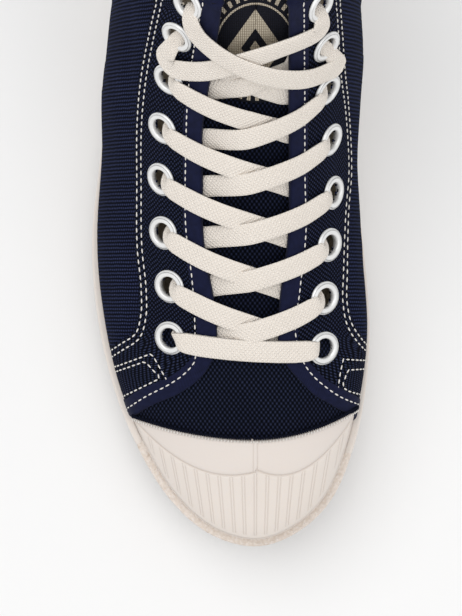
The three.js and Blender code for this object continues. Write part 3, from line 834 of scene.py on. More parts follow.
@dataclass(frozen=True)
class Rubber:
    """Vulcanised off-white rubber.

    Attributes:
        name: the material's name.
        colour: main colour.
        worn: colour of the faint soiling, also used as painted shade at the rims of the pebbles.
        pebble: size of a raised pebbling in millimetres, 0 for a smooth face.
    """

    name: str
    colour: tuple[float, ...]
    worn: tuple[float, ...]
    pebble: float = 0.0

    def build(self) -> Material:
        """Builds the material.

        Returns:
            The material.
        """
        g = Graph(self.name)
        place = g.solid_place()
        cloudy = g.grain(place, 28.0, 4.0)
        fine = g.grain(place, 900.0, 2.0)
        specks = g.maths("GREATER_THAN", g.grain(place, 420.0, 1.0), 0.71)
        share = g.plus(g.times(cloudy, 0.45), g.times(specks, 0.25))
        g.shade("Roughness", g.plus(g.times(cloudy, 0.15), 0.5))
        g.shade("Specular IOR Level", 0.35)
        g.shade("Subsurface Weight", 0.04)
        g.shade("Subsurface Radius", (0.004, 0.003, 0.002))
        if self.pebble:
            cells = g.add("TexVoronoi", {"Vector": place, "Scale": 1000 / self.pebble}, feature="SMOOTH_F1")
            bumps = g.minus(1.0, cells.outputs[0])
            # Painted shade: the colour darkens towards the worn colour at the rims of the pebbles and in the
            # gaps between them.
            pebble_rim_shade = g.add("Clamp", {0: g.times(cells.outputs[0], 1.3)}).outputs[0]
            share = g.maths("MINIMUM", g.plus(share, g.times(pebble_rim_shade, 0.55)), 1.0)
            g.bump(g.plus(bumps, g.times(fine, 0.1)), 0.0004, 1.0)
        else:
            g.bump(g.plus(fine, g.times(cloudy, 0.5)), 0.00004, 0.5)
        g.shade("Base Color", g.blend(share, self.colour, self.worn))
        return g.material


@dataclass(frozen=True)
class Thread:
    """Sewing thread with its twist.

    Attributes:
        name: the material's name.
        light: colour on top of the ply.
        dark: colour between its turns.
    """

    name: str
    light: tuple[float, ...]
    dark: tuple[float, ...]

    def build(self) -> Material:
        """Builds the material.

        Returns:
            The material.
        """
        g = Graph(self.name)
        place = g.solid_place()
        parts = g.add("SeparateXYZ", {0: place})
        slanted = g.plus(parts.outputs[1], g.times(parts.outputs[0], 0.7))
        ply = g.wave(slanted, 0.0005, rounded=True)
        g.shade("Base Color", g.blend(ply, self.dark, self.light))
        g.shade("Roughness", 0.75)
        g.bump(g.plus(ply, g.grain(place, 2500.0)), 0.00005, 0.7)
        return g.material


@dataclass(frozen=True)
class EyeletMetal:
    """Lacquered white-silver metal.

    Attributes:
        name: the material's name.
    """

    name: str = "eyelet metal"

    def build(self) -> Material:
        """Builds the material.

        Returns:
            The material.
        """
        g = Graph(self.name)
        place = g.solid_place()
        scuff = g.grain(place, 260.0, 4.0)
        g.shade("Base Color", g.blend(scuff, tone(222, 222, 222), tone(236, 236, 235)))
        g.shade("Metallic", 0.3)
        g.shade("Roughness", g.plus(g.times(scuff, 0.15), 0.28))
        g.shade("Coat Weight", 0.3)
        g.shade("Coat Roughness", 0.12)
        g.bump(scuff, 0.00001, 0.3)
        return g.material


@dataclass(frozen=True)
class LabelCloth:
    """Woven tongue label: pale rings and a plain lozenge on near-black cloth, placed from its middle.

    Attributes:
        name: the material's name.
        ring: radius of the inner ring in millimetres.
        edge: radius of the outer ring.
        line: half the rings' width.
    """

    name: str = "label cloth"
    ring: float = 13.2
    edge: float = 17.9
    line: float = 0.3

    def build(self) -> Material:
        """Builds the material.

        Returns:
            The material.
        """
        g = Graph(self.name)
        place, x, y = g.flat()
        away = g.maths("SQRT", g.plus(g.times(x, x), g.times(y, y)))
        rings = [g.maths("COMPARE", away, r) for r in (self.ring, self.edge)]
        for socket in rings:
            socket.node.inputs[2].default_value = self.line
        slant = g.plus(g.maths("ABSOLUTE", x), g.times(g.maths("ABSOLUTE", y), 0.8))
        lozenge = g.maths("COMPARE", slant, 7.0)
        lozenge.node.inputs[2].default_value = 2.3
        core = g.maths("LESS_THAN", slant, 1.8)
        angle = g.maths("ARCTAN2", y, x)
        beads = g.maths("GREATER_THAN", g.maths("SINE", g.times(angle, 36.0)), 0.2)
        band = g.maths("COMPARE", away, 15.5)
        band.node.inputs[2].default_value = 1.0
        drawn = g.maths("MAXIMUM", g.maths("MAXIMUM", rings[0], rings[1]), g.maths("MAXIMUM", lozenge, core))
        drawn = g.maths("MAXIMUM", drawn, g.times(beads, band))
        weft = g.times(g.wave(x, 0.7, rounded=True), g.wave(y, 0.5, rounded=True))
        pale = g.blend(weft, tone(120, 108, 92), tone(214, 204, 184))
        navy = g.blend(weft, tone(8, 8, 13), tone(24, 26, 38))
        g.shade("Base Color", g.blend(drawn, navy, pale))
        g.shade("Roughness", 0.9)
        g.shade("Specular IOR Level", 0.15)
        g.bump(g.plus(weft, g.times(drawn, 1.2)), 0.0002, 0.8)
        return g.material


@dataclass(frozen=True)
class Paper:
    """The pale floor.

    Attributes:
        name: the material's name.
    """

    name: str = "pale floor"

    def build(self) -> Material:
        """Builds the material.

        Returns:
            The material.
        """
        g = Graph(self.name)
        mottle = g.grain(g.solid_place(), 3.0)
        g.shade("Base Color", g.blend(mottle, tone(233, 233, 233), tone(235, 235, 235)))
        g.shade("Roughness", 0.9)
        return g.material


# --- Building shapes ---


class Slot(Enum):
    """Names of material slots."""

    CANVAS = "canvas"
    RUBBER = "rubber"
    COTTON = "cotton"
    EYELET = "eyelet"
    LINING = "lining"


Place = Callable[[Array, Array], Array]


def laid_grid(points: Array, cloth: Array, fields: dict[str, Array]) -> bmesh.types.BMesh:
    """A grid of faces with its corners at given points.

    Args:
        points: the corners in millimetres, by row and column.
        cloth: the cloth's own place at each corner.
        fields: further values at each corner, by name.

    Returns:
        The mesh.
    """
    along, across = points.shape[0] - 1, points.shape[1] - 1
    bm = bmesh.new()
    bmesh.ops.create_grid(bm, x_segments=along, y_segments=across, size=0.5)
    uv = bm.loops.layers.uv.new("cloth")
    layers = {key: bm.verts.layers.float.new(key) for key in fields}
    seat = {}
    for vert in bm.verts:
        i, j = round((vert.co.x + 0.5) * along), round((vert.co.y + 0.5) * across)
        seat[vert] = (i, j)
        vert.co = Vector(points[i, j] * METRE)
        for key, layer in layers.items():
            vert[layer] = float(fields[key][i, j])
    for face in bm.faces:
        for loop in face.loops:
            loop[uv].uv = cloth[seat[loop.vert]]
    return bm


@dataclass
class Sheet:
    """A grid of faces laid over a surface.

    Attributes:
        name: the piece's name.
        cells: faces along and across.
        place: gives the points in millimetres for shares along and across.
        material: its finish.
        slot: its material slot.
        thickness: millimetres added inwards, 0 for none.
        anchor: share across from which the cloth's width is measured.
        rim_only: whether the inner face is left out.
        holes: centres and radius of round holes.
        core: x and z of the line that the faces look away from.
        fields: further values for each grid point, by name.
        level_cloth: 1 where the cloth's weft lies level across the shoe, 0 where it follows the piece.
    """

    name: str
    cells: tuple[int, int]
    place: Place
    material: Material
    slot: Slot
    thickness: float = 0.0
    anchor: float = 0.0
    rim_only: bool = False
    holes: tuple[Array, float] | None = None
    core: Pair = (7.0, 25.0)
    fields: Callable[[Array], dict[str, Array]] | None = None
    level_cloth: float = 1.0

    def build(self) -> bpy.types.Object:
        """Lays the grid over the surface, cuts its holes and turns its faces outwards.

        Returns:
            The finished piece.
        """
        along, across = self.cells
        s, t = np.meshgrid(np.linspace(0, 1, along + 1), np.linspace(0, 1, across + 1), indexing="ij")
        points = self.place(s, t)
        steps = np.diff(points, axis=0)
        arc = np.linalg.norm(steps, axis=2)
        ahead = np.where(np.abs(steps[..., 1]) > 0.45 * arc, np.abs(steps[..., 1]), arc)
        run = np.concatenate([np.zeros((1, across + 1)), np.cumsum(ahead, 0)])
        girth = points[:1, :, 1] * self.level_cloth + run
        width = np.concatenate(
            [np.zeros((along + 1, 1)), np.cumsum(np.linalg.norm(np.diff(points, axis=1), axis=2), axis=1)], 1)
        width -= width[:, [round(self.anchor * across)]]
        extra = self.fields(points) if self.fields else {}
        bm = laid_grid(points, np.stack([girth, width], -1), extra)
        if self.holes is not None:
            centres, radius = self.holes
            tree = [Vector(c * METRE) for c in centres]
            inside = [
                f for f in bm.faces if min((f.calc_center_median() - c).length for c in tree) < radius * METRE
            ]
            bmesh.ops.delete(bm, geom=inside, context="FACES")
        bmesh.ops.remove_doubles(bm, verts=bm.verts, dist=1e-6)
        bmesh.ops.dissolve_degenerate(bm, edges=bm.edges, dist=1e-7)
        bmesh.ops.recalc_face_normals(bm, faces=bm.faces)
        core_x, core_z = (c * METRE for c in self.core)
        facing = 0.0
        for f in bm.faces:
            middle = f.calc_center_median()
            facing += f.calc_area() * f.normal.dot(middle - Vector((core_x, middle.y, core_z)))
        if facing < 0:
            bmesh.ops.reverse_faces(bm, faces=bm.faces)
        obj = settle(self.name, bm, self.material, self.slot)
        if self.thickness:
            thicken(obj, self.thickness, self.rim_only)
        return obj


def settle(name: str, bm: bmesh.types.BMesh, material: Material, slot: Slot) -> bpy.types.Object:
    """Turns a bmesh into a smooth-shaded piece that rides on the shoe.

    Args:
        name: the piece's name.
        bm: its mesh, freed here.
        material: its finish.
        slot: its material slot, not used.

    Returns:
        The piece.
    """
    for face in bm.faces:
        face.smooth = True
    mesh = bpy.data.meshes.new(name)
    bm.to_mesh(mesh)
    bm.free()
    mesh.materials.append(material)
    obj = bpy.data.objects.new(name, mesh)
    bpy.context.scene.collection.objects.link(obj)
    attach(obj, "root")
    LOG.info("%s: %d faces", name, len(mesh.polygons))
    return obj


def thicken(obj: bpy.types.Object, thickness: float, rim_only: bool = False) -> None:
    """Gives a sheet its thickness inwards, in millimetres, as a modifier."""
    shell = obj.modifiers.new("thickness", "SOLIDIFY")
    shell.thickness = thickness * METRE
    shell.offset = -1
    shell.use_rim_only = rim_only


def both_ways(s: Array, last_row: float) -> tuple[Array, Array]:
    """Side signs and row coordinates for shares from the lateral end round the toe to the medial end."""
    way = (2 * s - 1) * last_row
    return np.where(way < 0, -1.0, 1.0), np.abs(way)


CLOTH_HALF = 3.5  # half the width of a swept strip's cloth
CLOTH_BACK = 10.0  # where the cloth of its back lies beside that of its front


def swept(name: str, path: Array, broad: Array, size: tuple[Array, Array], around: int,
          square: float, material: Material, slot: Slot) -> bpy.types.Object:
    """A strip with a rounded section swept along a path.

    Args:
        name: the piece's name.
        path: its middle line.
        broad: unit directions across the strip's width.
        size: half widths and half thicknesses along it.
        around: points in the section.
        square: exponent of the section's superellipse, below 1 for a squarer one.
        material: its finish.
        slot: its material slot.

    Returns:
        The strip, closed at both ends.
    """
    ahead = unit(np.gradient(path, axis=0))
    broad = unit(broad - np.sum(broad * ahead, -1, keepdims=True) * ahead)
    thick = np.cross(ahead, broad)
    half_width, half_thick = size
    run = run_of(path)
    angle = np.linspace(0, 2 * np.pi, around + 1)
    cosine, sine = np.cos(angle), np.sin(angle)
    shape_x, shape_y = (np.sign(c) * np.abs(c) ** square for c in (cosine, sine))
    points = (
        path[:, None]
        + broad[:, None] * shape_x[None, :, None] * half_width[:, None, None]
        + thick[:, None] * shape_y[None, :, None] * half_thick[:, None, None]
    )
    cloth_x = shape_x * CLOTH_HALF + np.where(sine < 0, CLOTH_BACK, 0)
    cloth = np.stack(np.broadcast_arrays(cloth_x[None, :], run[:, None]), -1)
    bm = laid_grid(points, cloth, {})
    bmesh.ops.remove_doubles(bm, verts=bm.verts, dist=1e-7)
    ends = [e for e in bm.edges if e.is_boundary]
    bmesh.ops.holes_fill(bm, edges=ends, sides=0)
    bmesh.ops.recalc_face_normals(bm, faces=bm.faces)
    return settle(name, bm, material, slot)


@dataclass(frozen=True)
class Stitching:
    """A row of stitches.

    Attributes:
        pitch: millimetres from stitch to stitch.
        length: millimetres of thread showing.
        radius: half the thread's width.
    """

    pitch: float = 2.8
    length: float = 1.9
    radius: float = 0.3

    def sew(
        self, name: str, rows: Iterable[tuple[Trail, float, float]], material: Material
    ) -> bpy.types.Object:
        """Sews rows of stitches as one piece.

        Args:
            name: the piece's name.
            rows: trails, with how far beside and above them the thread lies.
            material: the thread.

        Returns:
            The piece.
        """
        bm = bmesh.new()
        for trail, width, lift in rows:
            points, ahead, normal = trail.ahead(width, lift)
            run = run_of(points)
            for at in np.arange(self.pitch / 2, run[-1], self.pitch):
                k = min(int(np.searchsorted(run, at)), len(points) - 1)
                share = (at - run[k - 1]) / max(run[k] - run[k - 1], 1e-6)
                centre = points[k - 1] + (points[k] - points[k - 1]) * share
                x = Vector(ahead[k])
                z = (Vector(normal[k]) - x * Vector(normal[k]).dot(x)).normalized()
                y = z.cross(x)
                turn = placed(x * self.length / 2, y * self.radius, z * self.radius * 0.7, Vector(centre))
                bmesh.ops.create_uvsphere(bm, u_segments=8, v_segments=5, radius=1, matrix=turn)
        return settle(name, bm, material, Slot.CANVAS)


def placed(x: Vector, y: Vector, z: Vector, at: Vector) -> Matrix:
    """A transform with these axes and place, all in millimetres."""
    made = Matrix((x, y, z)).transposed().to_4x4()
    made.translation = at
    return Matrix.Scale(METRE, 4) @ made


# --- The shoe's pieces ---


@dataclass(frozen=True)
class Kit:
    """All finishes of the shoe, made once.

    Attributes:
        side_canvas, facing_canvas, vamp_canvas, tongue_canvas: the four canvases.
        tape: binding and collar tape.
        thread: of all seams.
        rubber, cap_rubber, pebbled: sole, toe cap and toe strip.
        lining: lining and insole cloth.
        lace: the lace's cotton.
        metal: the eyelets.
        label: the tongue's label.
    """

    side_canvas: Material
    facing_canvas: Material
    vamp_canvas: Material
    tongue_canvas: Material
    tape: Material
    thread: Material
    rubber: Material
    cap_rubber: Material
    pebbled: Material
    lining: Material
    lace: Material
    metal: Material
    label: Material

    @classmethod
    def made(cls) -> "Kit":
        """Makes every material.
        """
        pale, worn = tone(228, 220, 213), tone(208, 199, 190)
        side = Canvas("side canvas", Weave.WEFT_RIB, 1.25, tone(50, 58, 92), tone(5, 6, 13))
        facing = Canvas("facing canvas", Weave.BASKET, 1.1, tone(52, 59, 88), tone(4, 5, 10), 0.785)
        vamp = Canvas("vamp canvas", Weave.DOTTED, 2.1, tone(42, 48, 72), tone(3, 4, 8), 0.0, 0.76)
        tongue = Canvas("tongue canvas", Weave.DOTTED, 2.1, tone(38, 44, 68), tone(2, 3, 6), 0.0, 0.76)
        return cls(
            side_canvas=side.build(),
            facing_canvas=facing.build(),
            vamp_canvas=vamp.build(),
            tongue_canvas=tongue.build(),
            tape=PlainCloth("binding tape", tone(25, 30, 62), tone(7, 9, 24)).build(),
            thread=Thread("seam thread", tone(240, 236, 230), tone(176, 172, 168)).build(),
            rubber=Rubber("sole rubber", pale, worn).build(),
            cap_rubber=CapRubber().build(),
            pebbled=Rubber("pebbled rubber", tone(240, 233, 227), tone(203, 187, 172), 0.95).build(),
            lining=PlainCloth("cotton lining", tone(226, 217, 202), tone(190, 180, 164), 0.8).build(),
            lace=LaceCotton().build(),
            metal=EyeletMetal().build(),
            label=LabelCloth().build(),
        )


@dataclass(frozen=True)
class CapRubber:
    """Rubber of the toe cap; its ribs, scallop and grooves are pressed in by the fields of its sheet, and its
    grooves and rib edges are darkened with painted shade.

    Attributes:
        name: the material's name.
        plain: colour of the smooth part by the canvas.
        ribbed: colour of the ribbed part.
    """

    name: str = "cap rubber"
    plain: tuple[float, ...] = tone(217, 209, 203)
    ribbed: tuple[float, ...] = tone(219, 211, 204)

    def build(self) -> Material:
        """Builds the material.

        Returns:
            The material.
        """
        g = Graph(self.name)
        place = g.solid_place()
        field_of = lambda name: g.add("Attribute", attribute_name=name).outputs["Fac"]
        rib, scallop, low = field_of("rib"), field_of("scallop"), field_of("low")

        def line(distance: object, width: float) -> Socket:
            """A soft line of that half width where the distance is nought."""
            away = g.maths("DIVIDE", g.maths("ABSOLUTE", distance), width)
            return g.minus(1.0, g.add("Clamp", {0: away}).outputs[0])

        off = g.minus(rib, g.maths("ROUND", rib))
        gap = g.times(g.maths("ABSOLUTE", off), 4.3)
        edges = line(g.minus(gap, 0.5), 0.34)
        band = g.maths("LESS_THAN", gap, 0.5)
        ahead = g.maths("GREATER_THAN", scallop, 0.6)
        above = g.maths("GREATER_THAN", low, 1.5)
        ribbed = g.maths("LESS_THAN", g.maths("ABSOLUTE", rib), 9.3)
        within = g.times(g.times(ahead, above), ribbed)
        furrow = g.times(edges, within)
        raised = g.times(band, within)
        spine = line(g.minus(g.maths("ABSOLUTE", field_of("across")), 0.75), 0.3)
        spine = g.times(spine, g.maths("LESS_THAN", scallop, 0.0))
        grooves = g.maths("MAXIMUM", line(scallop, 0.45), line(g.minus(low, 0.35), 0.3))
        grooves = g.maths("MAXIMUM", grooves, g.times(spine, 0.6))
        pressed = g.maths("MAXIMUM", g.times(furrow, 0.6), grooves)
        cloudy = g.grain(place, 30.0, 4.0)
        fine = g.grain(place, 1100.0, 2.0)
        front = g.add("Clamp", {0: g.plus(g.times(scallop, 0.7), 0.5)}).outputs[0]
        base = g.blend(front, self.plain, self.ribbed)
        # Painted shade in the grooves, the scallop and along the rib edges, plus cloudy grime, pulls the
        # colour towards a darker brown.
        groove_shade_and_grime = g.plus(g.times(pressed, 0.3), g.times(cloudy, 0.18))
        g.shade("Base Color", g.blend(groove_shade_and_grime, base, tone(196, 176, 158)))
        g.shade("Roughness", g.plus(g.times(cloudy, 0.15), 0.48))
        g.shade("Specular IOR Level", 0.35)
        g.shade("Subsurface Weight", 0.04)
        g.shade("Subsurface Radius", (0.004, 0.003, 0.002))
        proud = g.plus(g.times(raised, 0.25), g.times(fine, 0.14))
        g.bump(g.minus(proud, pressed), 0.00028, 0.8)
        return g.material


@dataclass
class Sole:
    """Tread, midsole, insole, foxing and toe guard.

    Attributes:
        kit: the finishes.
        guard_row: row where the toe guard ends on each side.
        bar_pitch: millimetres between tread bars.
        bar_depth: depth of the grooves between them.
        edge_round: radius of the foxing's upper edge.
    """

    kit: Kit
    guard_row: float = 3.0
    bar_pitch: float = 5.0
    bar_depth: float = 1.2
    edge_round: float = 0.9

    def plate(self, inset: float, level: Callable[[Array], Array]) -> Place:
        """A sheet across the sole.

        Args:
            inset: how far inside the outline it ends.
            level: its height at y.

        Returns:
            The sheet's place function.
        """

        def place(s: Array, t: Array) -> Array:
            """Points from the lateral edge across to the medial one."""
            u = s * LAST_ROW
            xa, ya, _, _ = LAST.edge(-np.ones_like(u), u, inset)
            xb, yb, _, _ = LAST.edge(np.ones_like(u), u, inset)
            y = ya + (yb - ya) * t
            return np.stack([xa + (xb - xa) * t, y, level(y)], -1)

        return place

    def slab(self, s: Array, t: Array) -> Array:
        """The tread as a closed slab: across its underside and back over its top."""
        share = 1 - np.abs(2 * t - 1)
        low = self.plate(0.0, self.tread_level)(s, share)
        high = self.plate(0.0, lambda y: underside(y) + OUTSOLE_THICK)(s, share)
        return np.where((t < 0.5)[..., None] | (t > 0.9999)[..., None], low, high)

    def tread_level(self, y: Array) -> Array:
        """Height of the tread's underside with its cross bars, plain at the two resting places."""
        wave = np.abs((y / self.bar_pitch) % 1 - 0.5) * 2
        groove = np.where(wave > 0.72, 1.0, 0.0)
        plain = ((y > 84) & (y < 108)) | ((y > -45) & (y < -20))
        return underside(y) + groove * np.where(plain, 0.0, self.bar_depth)

    def ring(self, last_row: float, section: Callable[[Array], tuple[Array, Array]]) -> Place:
        """A band round the sole's edge.

        Args:
            last_row: row where it ends on each side.
            section: inset, share of the height (0 at its foot, 1 at its top) and millimetres added to it.

        Returns:
            The band's place function.
        """

        def place(s: Array, t: Array) -> Array:
            """Points round the edge and over the band's section."""
            side, u = both_ways(s, last_row)
            inset, share, more = section(t, u)
            _, y0, _, _ = LAST.edge(side, u, 0.0)
            low, high = underside(y0) + OUTSOLE_THICK + GAP, LAST.level(y0, 2)
            x, y, _, _ = LAST.edge(side, u, inset)
            return np.stack([x, y, low + (high - low) * share + more], -1)

        return place

    def build(self) -> None:
        """Makes the sole's pieces."""
        kit = self.kit
        tread = Sheet("tread", (540, 40), self.slab, kit.rubber, Slot.RUBBER).build()
        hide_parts("outsole")
        below = (0.0, -400.0)
        floor = self.plate(FOXING_THICK + GAP, lambda y: LAST.level(y, 1))
        body = Sheet("midsole_core", (120, 16), floor, kit.rubber, Slot.RUBBER, core=below).build()
        thicken(body, 8.0)
        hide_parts("midsole")
        face = self.plate(FOXING_THICK + 2 * GAP + 1.8, lambda y: LAST.level(y, 1) + GAP + 3.0)
        bed = Sheet("sock", (160, 20), face, kit.lining, Slot.LINING, core=below).build()
        thicken(bed, 3.0)
        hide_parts("insole")
        corner = self.edge_round
        keys = np.array([
            (FOXING_THICK, 0, 0), (0.5, 0, 0), (0.1, 0, 0.3), (0, 0.25, 0), (0, 0.6, 0), (0, 1, -corner),
            (0.12 * corner, 1, -0.5 * corner), (0.32 * corner, 1, -0.18 * corner), (0.8 * corner, 1, 0.02),
            (FOXING_THICK - 0.5, 1, 0.05), (FOXING_THICK - 0.1, 1, -0.1), (FOXING_THICK, 1, -0.5),
            (FOXING_THICK, 0, 0),
        ])
        lip = np.array([
            (1.1, 0, 0), (0.3, 0, 0), (0, 0, 0.3), (0, 0.3, 0), (0, 0.7, 0), (0, 1, -corner), (0.12, 1, -0.4),
            (0.4, 1, -0.05), (0.9, 1, 0.12), (1.9, 1, 0.16), (2.75, 1, 0.12), (2.85, 1, -0.4), (1.2, 1, -0.8),
            (1.1, 0, 0),
        ])

        def foxing(t: Array, u: Array) -> tuple[Array, ...]:
            """The tape's section, thinner and lower where the toe guard covers it."""
            inset, share, more = read_keys(t, keys)
            covered = 1 - smoothstep(u, self.guard_row - 0.16, self.guard_row - 0.06)
            inset = np.maximum(inset, covered * 1.3)
            return inset, share, more - covered * share * 0.9

        def guard(t: Array, u: Array) -> tuple[Array, ...]:
            """The toe guard's section, drawn in at its ends."""
            inset, share, more = read_keys(t, lip)
            ends = smoothstep(u, self.guard_row - 0.14, self.guard_row)
            return inset + ends * 0.4, share, more - ends * share * 0.6

        ring = self.ring(float(LAST_ROW), foxing)
        tape = Sheet("foxing_tape", (520, 48), ring, kit.rubber, Slot.RUBBER).build()
        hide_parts("foxing")
        ring = self.ring(self.guard_row, guard)
        strip = Sheet("toe_strip", (300, 52), ring, kit.pebbled, Slot.RUBBER).build()
        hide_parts("toe_guard")


@dataclass
class ToeCap:
    """Moulded rubber toe cap with ribs, a scalloped groove and a low groove.

    Attributes:
        kit: the finishes.
        middle: x of its middle line.
        rear: foremost y of its rear edge, and half span and sweep of the edge, lateral and medial.
        thick: its thickness at the rear edge and ahead of it.
        cusp: y of the scallop's cusp, and how far its arcs swing.
        arcs: how steeply the arcs climb, lateral and medial.
        rib_swing: millimetres and degrees that place the ribs.
        band: how far inside the sole's outline the cap's foot stands.
        inset: how far inside the outline each point of the grid lies.
    """

    kit: Kit
    middle: float = 8.5
    rear: tuple[float, Pair, Pair] = (-97.3, (44.0, 7.8), (35.6, 10.3))
    thick: Pair = (1.0, 1.9)
    cusp: Pair = (-109.8, 8.5)
    arcs: Pair = (0.0167, 0.030)
    rib_swing: Pair = (46.0, 5.45)
    band: float = 2.9
    inset: Array = field(default_factory=lambda: np.zeros(1))

    def rear_y(self, x: Array) -> Array:
        """The rear edge in plan, curling down beyond its span."""
        y0, lateral, medial = self.rear
        t = (x - 8.4) / np.where(x < 8.4, lateral[0], medial[0])
        return y0 + np.where(x < 8.4, lateral[1], medial[1]) * t * t

    def rear_rows(self, side: float, v: Array) -> Array:
        """Row coordinates at which the sections cross the rear edge.

        Args:
            side: the side's sign.
            v: places up the sections.

        Returns:
            The row coordinates.
        """

        def before(u: Array) -> Array:
            """Whether a place lies ahead of the rear edge."""
            p = LAST.point(side, u, v, -1.0)
            return p[..., 1] < self.rear_y(p[..., 0])

        return halved(np.full(v.shape, 1.2), np.full(v.shape, 4.6), 26, before)[0]

    def place(self, s: Array, t: Array) -> Array:
        """The cap's outer face.

        Args:
            s: shares along, from the lateral rear edge round the toe to the medial one.
            t: shares across, from tape to ridge.

        Returns:
            The points.
        """
        side = np.where(s < 0.5, -1.0, 1.0)
        v = t[0] ** 0.9
        ends = {sign: self.rear_rows(sign, v) for sign in (-1.0, 1.0)}
        share = np.abs(2 * s - 1)
        end = np.where(side < 0, ends[-1.0][None, :], ends[1.0][None, :])
        u, v = share * end, np.broadcast_to(v, s.shape)
        back = smoothstep((1 - share) * end, 0.0, 0.10)
        edge_thick, full_thick = self.thick
        lift = edge_thick + (full_thick - edge_thick) * smoothstep((1 - share) * end, 0.0, 0.9)
        lift = lift * (0.25 + 0.75 * back)
        lift = lift * (0.1 + 0.9 * smoothstep(v, 0.0, 0.16))
        points = LAST.point(side, u, v, -lift)
        x, y, ox, oy = LAST.edge(side, u)
        inset = (x - points[..., 0]) * ox + (y - points[..., 1]) * oy
        short = 0.35 * np.log1p(np.exp((self.band - inset) / 0.35))
        points[..., 0] -= short * ox
        points[..., 1] -= short * oy
        self.inset = inset + short
        return self.carved(points)

    def carved(self, points: Array) -> Array:
        """The outer face with its scallop groove and middle ridge pressed in."""
        marks = self.fields(points)
        groove = np.exp(-((marks["scallop"] / 0.7) ** 2)) * 0.3
        step = smoothstep(marks["scallop"], -0.6, 0.6) * 0.12
        ridge = np.exp(-((marks["across"] / 0.8) ** 2)) * 0.28 * smoothstep(marks["low"], 1.0, 3.0)
        made = points.copy()
        made[..., 2] += ridge - groove - step
        return made

    def fields(self, points: Array) -> dict[str, Array]:
        """What the cap's finish reads at each point.

        Args:
            points: the outer face.

        Returns:
            Rib number, distance ahead of the scallop, above the low groove and across from the middle.
        """
        x, y = points[..., 0], points[..., 1]
        swing, turn = self.rib_swing
        lean = 1 + 0.0068 * (y + 107)
        rib = np.degrees(np.arcsin(np.clip((x - self.middle) / (swing * lean), -0.999, 0.999))) / turn
        across = x - self.middle
        arc = self.cusp[0] + np.where(across < 0, *self.arcs) * (np.abs(across) - self.cusp[1]) ** 2
        slope = 2 * np.where(across < 0, *self.arcs) * (np.abs(across) - self.cusp[1])
        scallop = (arc - y) / np.sqrt(1 + slope**2)
        low = self.inset - self.band
        return {"rib": rib, "scallop": scallop, "low": low, "across": across}

    def fray(self) -> None:
        """Makes the cut canvas edge that stands over the cap's rear edge, thread by thread."""
        v = np.linspace(0.2, 0.9999, 160)
        rows = [Trail.resampled(sign, self.rear_rows(sign, v), v, 0.6) for sign in (-1.0, 1.0)]
        pale = [(trail, 0.75 * trail.side, self.thick[0] + 0.25) for trail in rows]
        dark = [(trail, -0.45 * trail.side, self.thick[0]) for trail in rows]
        Stitching(1.15, 0.55, 0.5).sew("cut_edge_warp", pale, self.kit.thread)
        Stitching(0.8, 0.85, 0.75).sew("cut_edge_weft", dark, self.kit.vamp_canvas)

    def build(self) -> None:
        """Makes the cap."""
        self.fray()
        cap = Sheet("toe_shell", (460, 84), self.place, self.kit.cap_rubber, Slot.RUBBER, 1.0, rim_only=True,
                    fields=self.fields).build()
        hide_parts("toe_cap")


@dataclass(frozen=True)
class SideLines:
    """Seams and edges of one side, as plan points or as (u, v).

    Attributes:
        front: (v, u) of the facing's front edge, from the tape up to the throat.
        seam: plan points of the seam between side panel and facing, from the collar down.
        patch_outer, patch_inner: outlines of the reinforcing patch's stitching.
        binding: plan points of the binding's stitch line from the collar down.
    """

    front: tuple[Pair, ...]
    seam: tuple[Pair, ...]
    patch_outer: tuple[Pair, ...]
    patch_inner: tuple[Pair, ...]
    binding: tuple[Pair, ...]


LINES = {
    Side.LATERAL: SideLines(
        ((-0.6, 3.35), (0, 3.35), (0.21, 3.41), (0.40, 3.64), (0.57, 3.85), (0.67, 4.06), (0.745, 4.3),
         (0.775, 4.5)),
        ((-22.4, 53.9), (-26.6, 39.0), (-29.2, 27.5), (-30.8, 15.9), (-31.6, -10.9), (-31.5, -31.4),
         (-30.2, -45.3), (-30.4, -54.4), (-32.6, -61.3), (-38.1, -65.1), (-42.6, -68.0)),
        ((-41.5, -72.5), (-27.5, -67.3), (-22.9, -75.5), (-19.5, -80.7), (-36.5, -88.2)),
        ((-41.0, -74.1), (-29.8, -70.1), (-24.5, -75.9), (-38.5, -82.9)),
        ((-8.5, 51), (-13.7, 24.7), (-15.1, -1.3), (-15.1, -24.8), (-13.1, -41.9), (-12.2, -62.6),
         (-12.4, -69.8), (-16, -74.2), (-21.2, -77.9), (-29.3, -82.2), (-38.5, -88.4)),
    ),
    Side.MEDIAL: SideLines(
        ((-0.6, 3.45), (0, 3.5), (0.12, 3.57), (0.30, 3.65), (0.43, 3.75), (0.60, 3.94), (0.76, 4.38),
         (0.79, 4.55)),
        ((34.9, 53.8), (36.4, 39.7), (37.7, 27.4), (39.2, 18.1), (40.2, -0.1), (39.9, -21.0), (39.6, -38.3),
         (39.7, -50.5), (42.0, -58.8), (44.4, -62.3), (47.4, -65.6)),
        ((47.2, -69.9), (39, -69.3), (38, -73.8), (36.9, -81.3), (44.9, -86.0)),
        ((46.6, -72.9), (40.5, -73.1), (38.7, -79.1), (40.9, -80.5), (45.6, -82.0)),
        ((23.4, 51), (24.4, 20), (24.8, -7.9), (25.3, -24.8), (23.4, -45.3), (22.1, -60.8), (25.3, -70.9),
         (28.1, -74.7), (32, -78.3), (37.5, -82.2), (44.4, -85.3)),
    ),
}


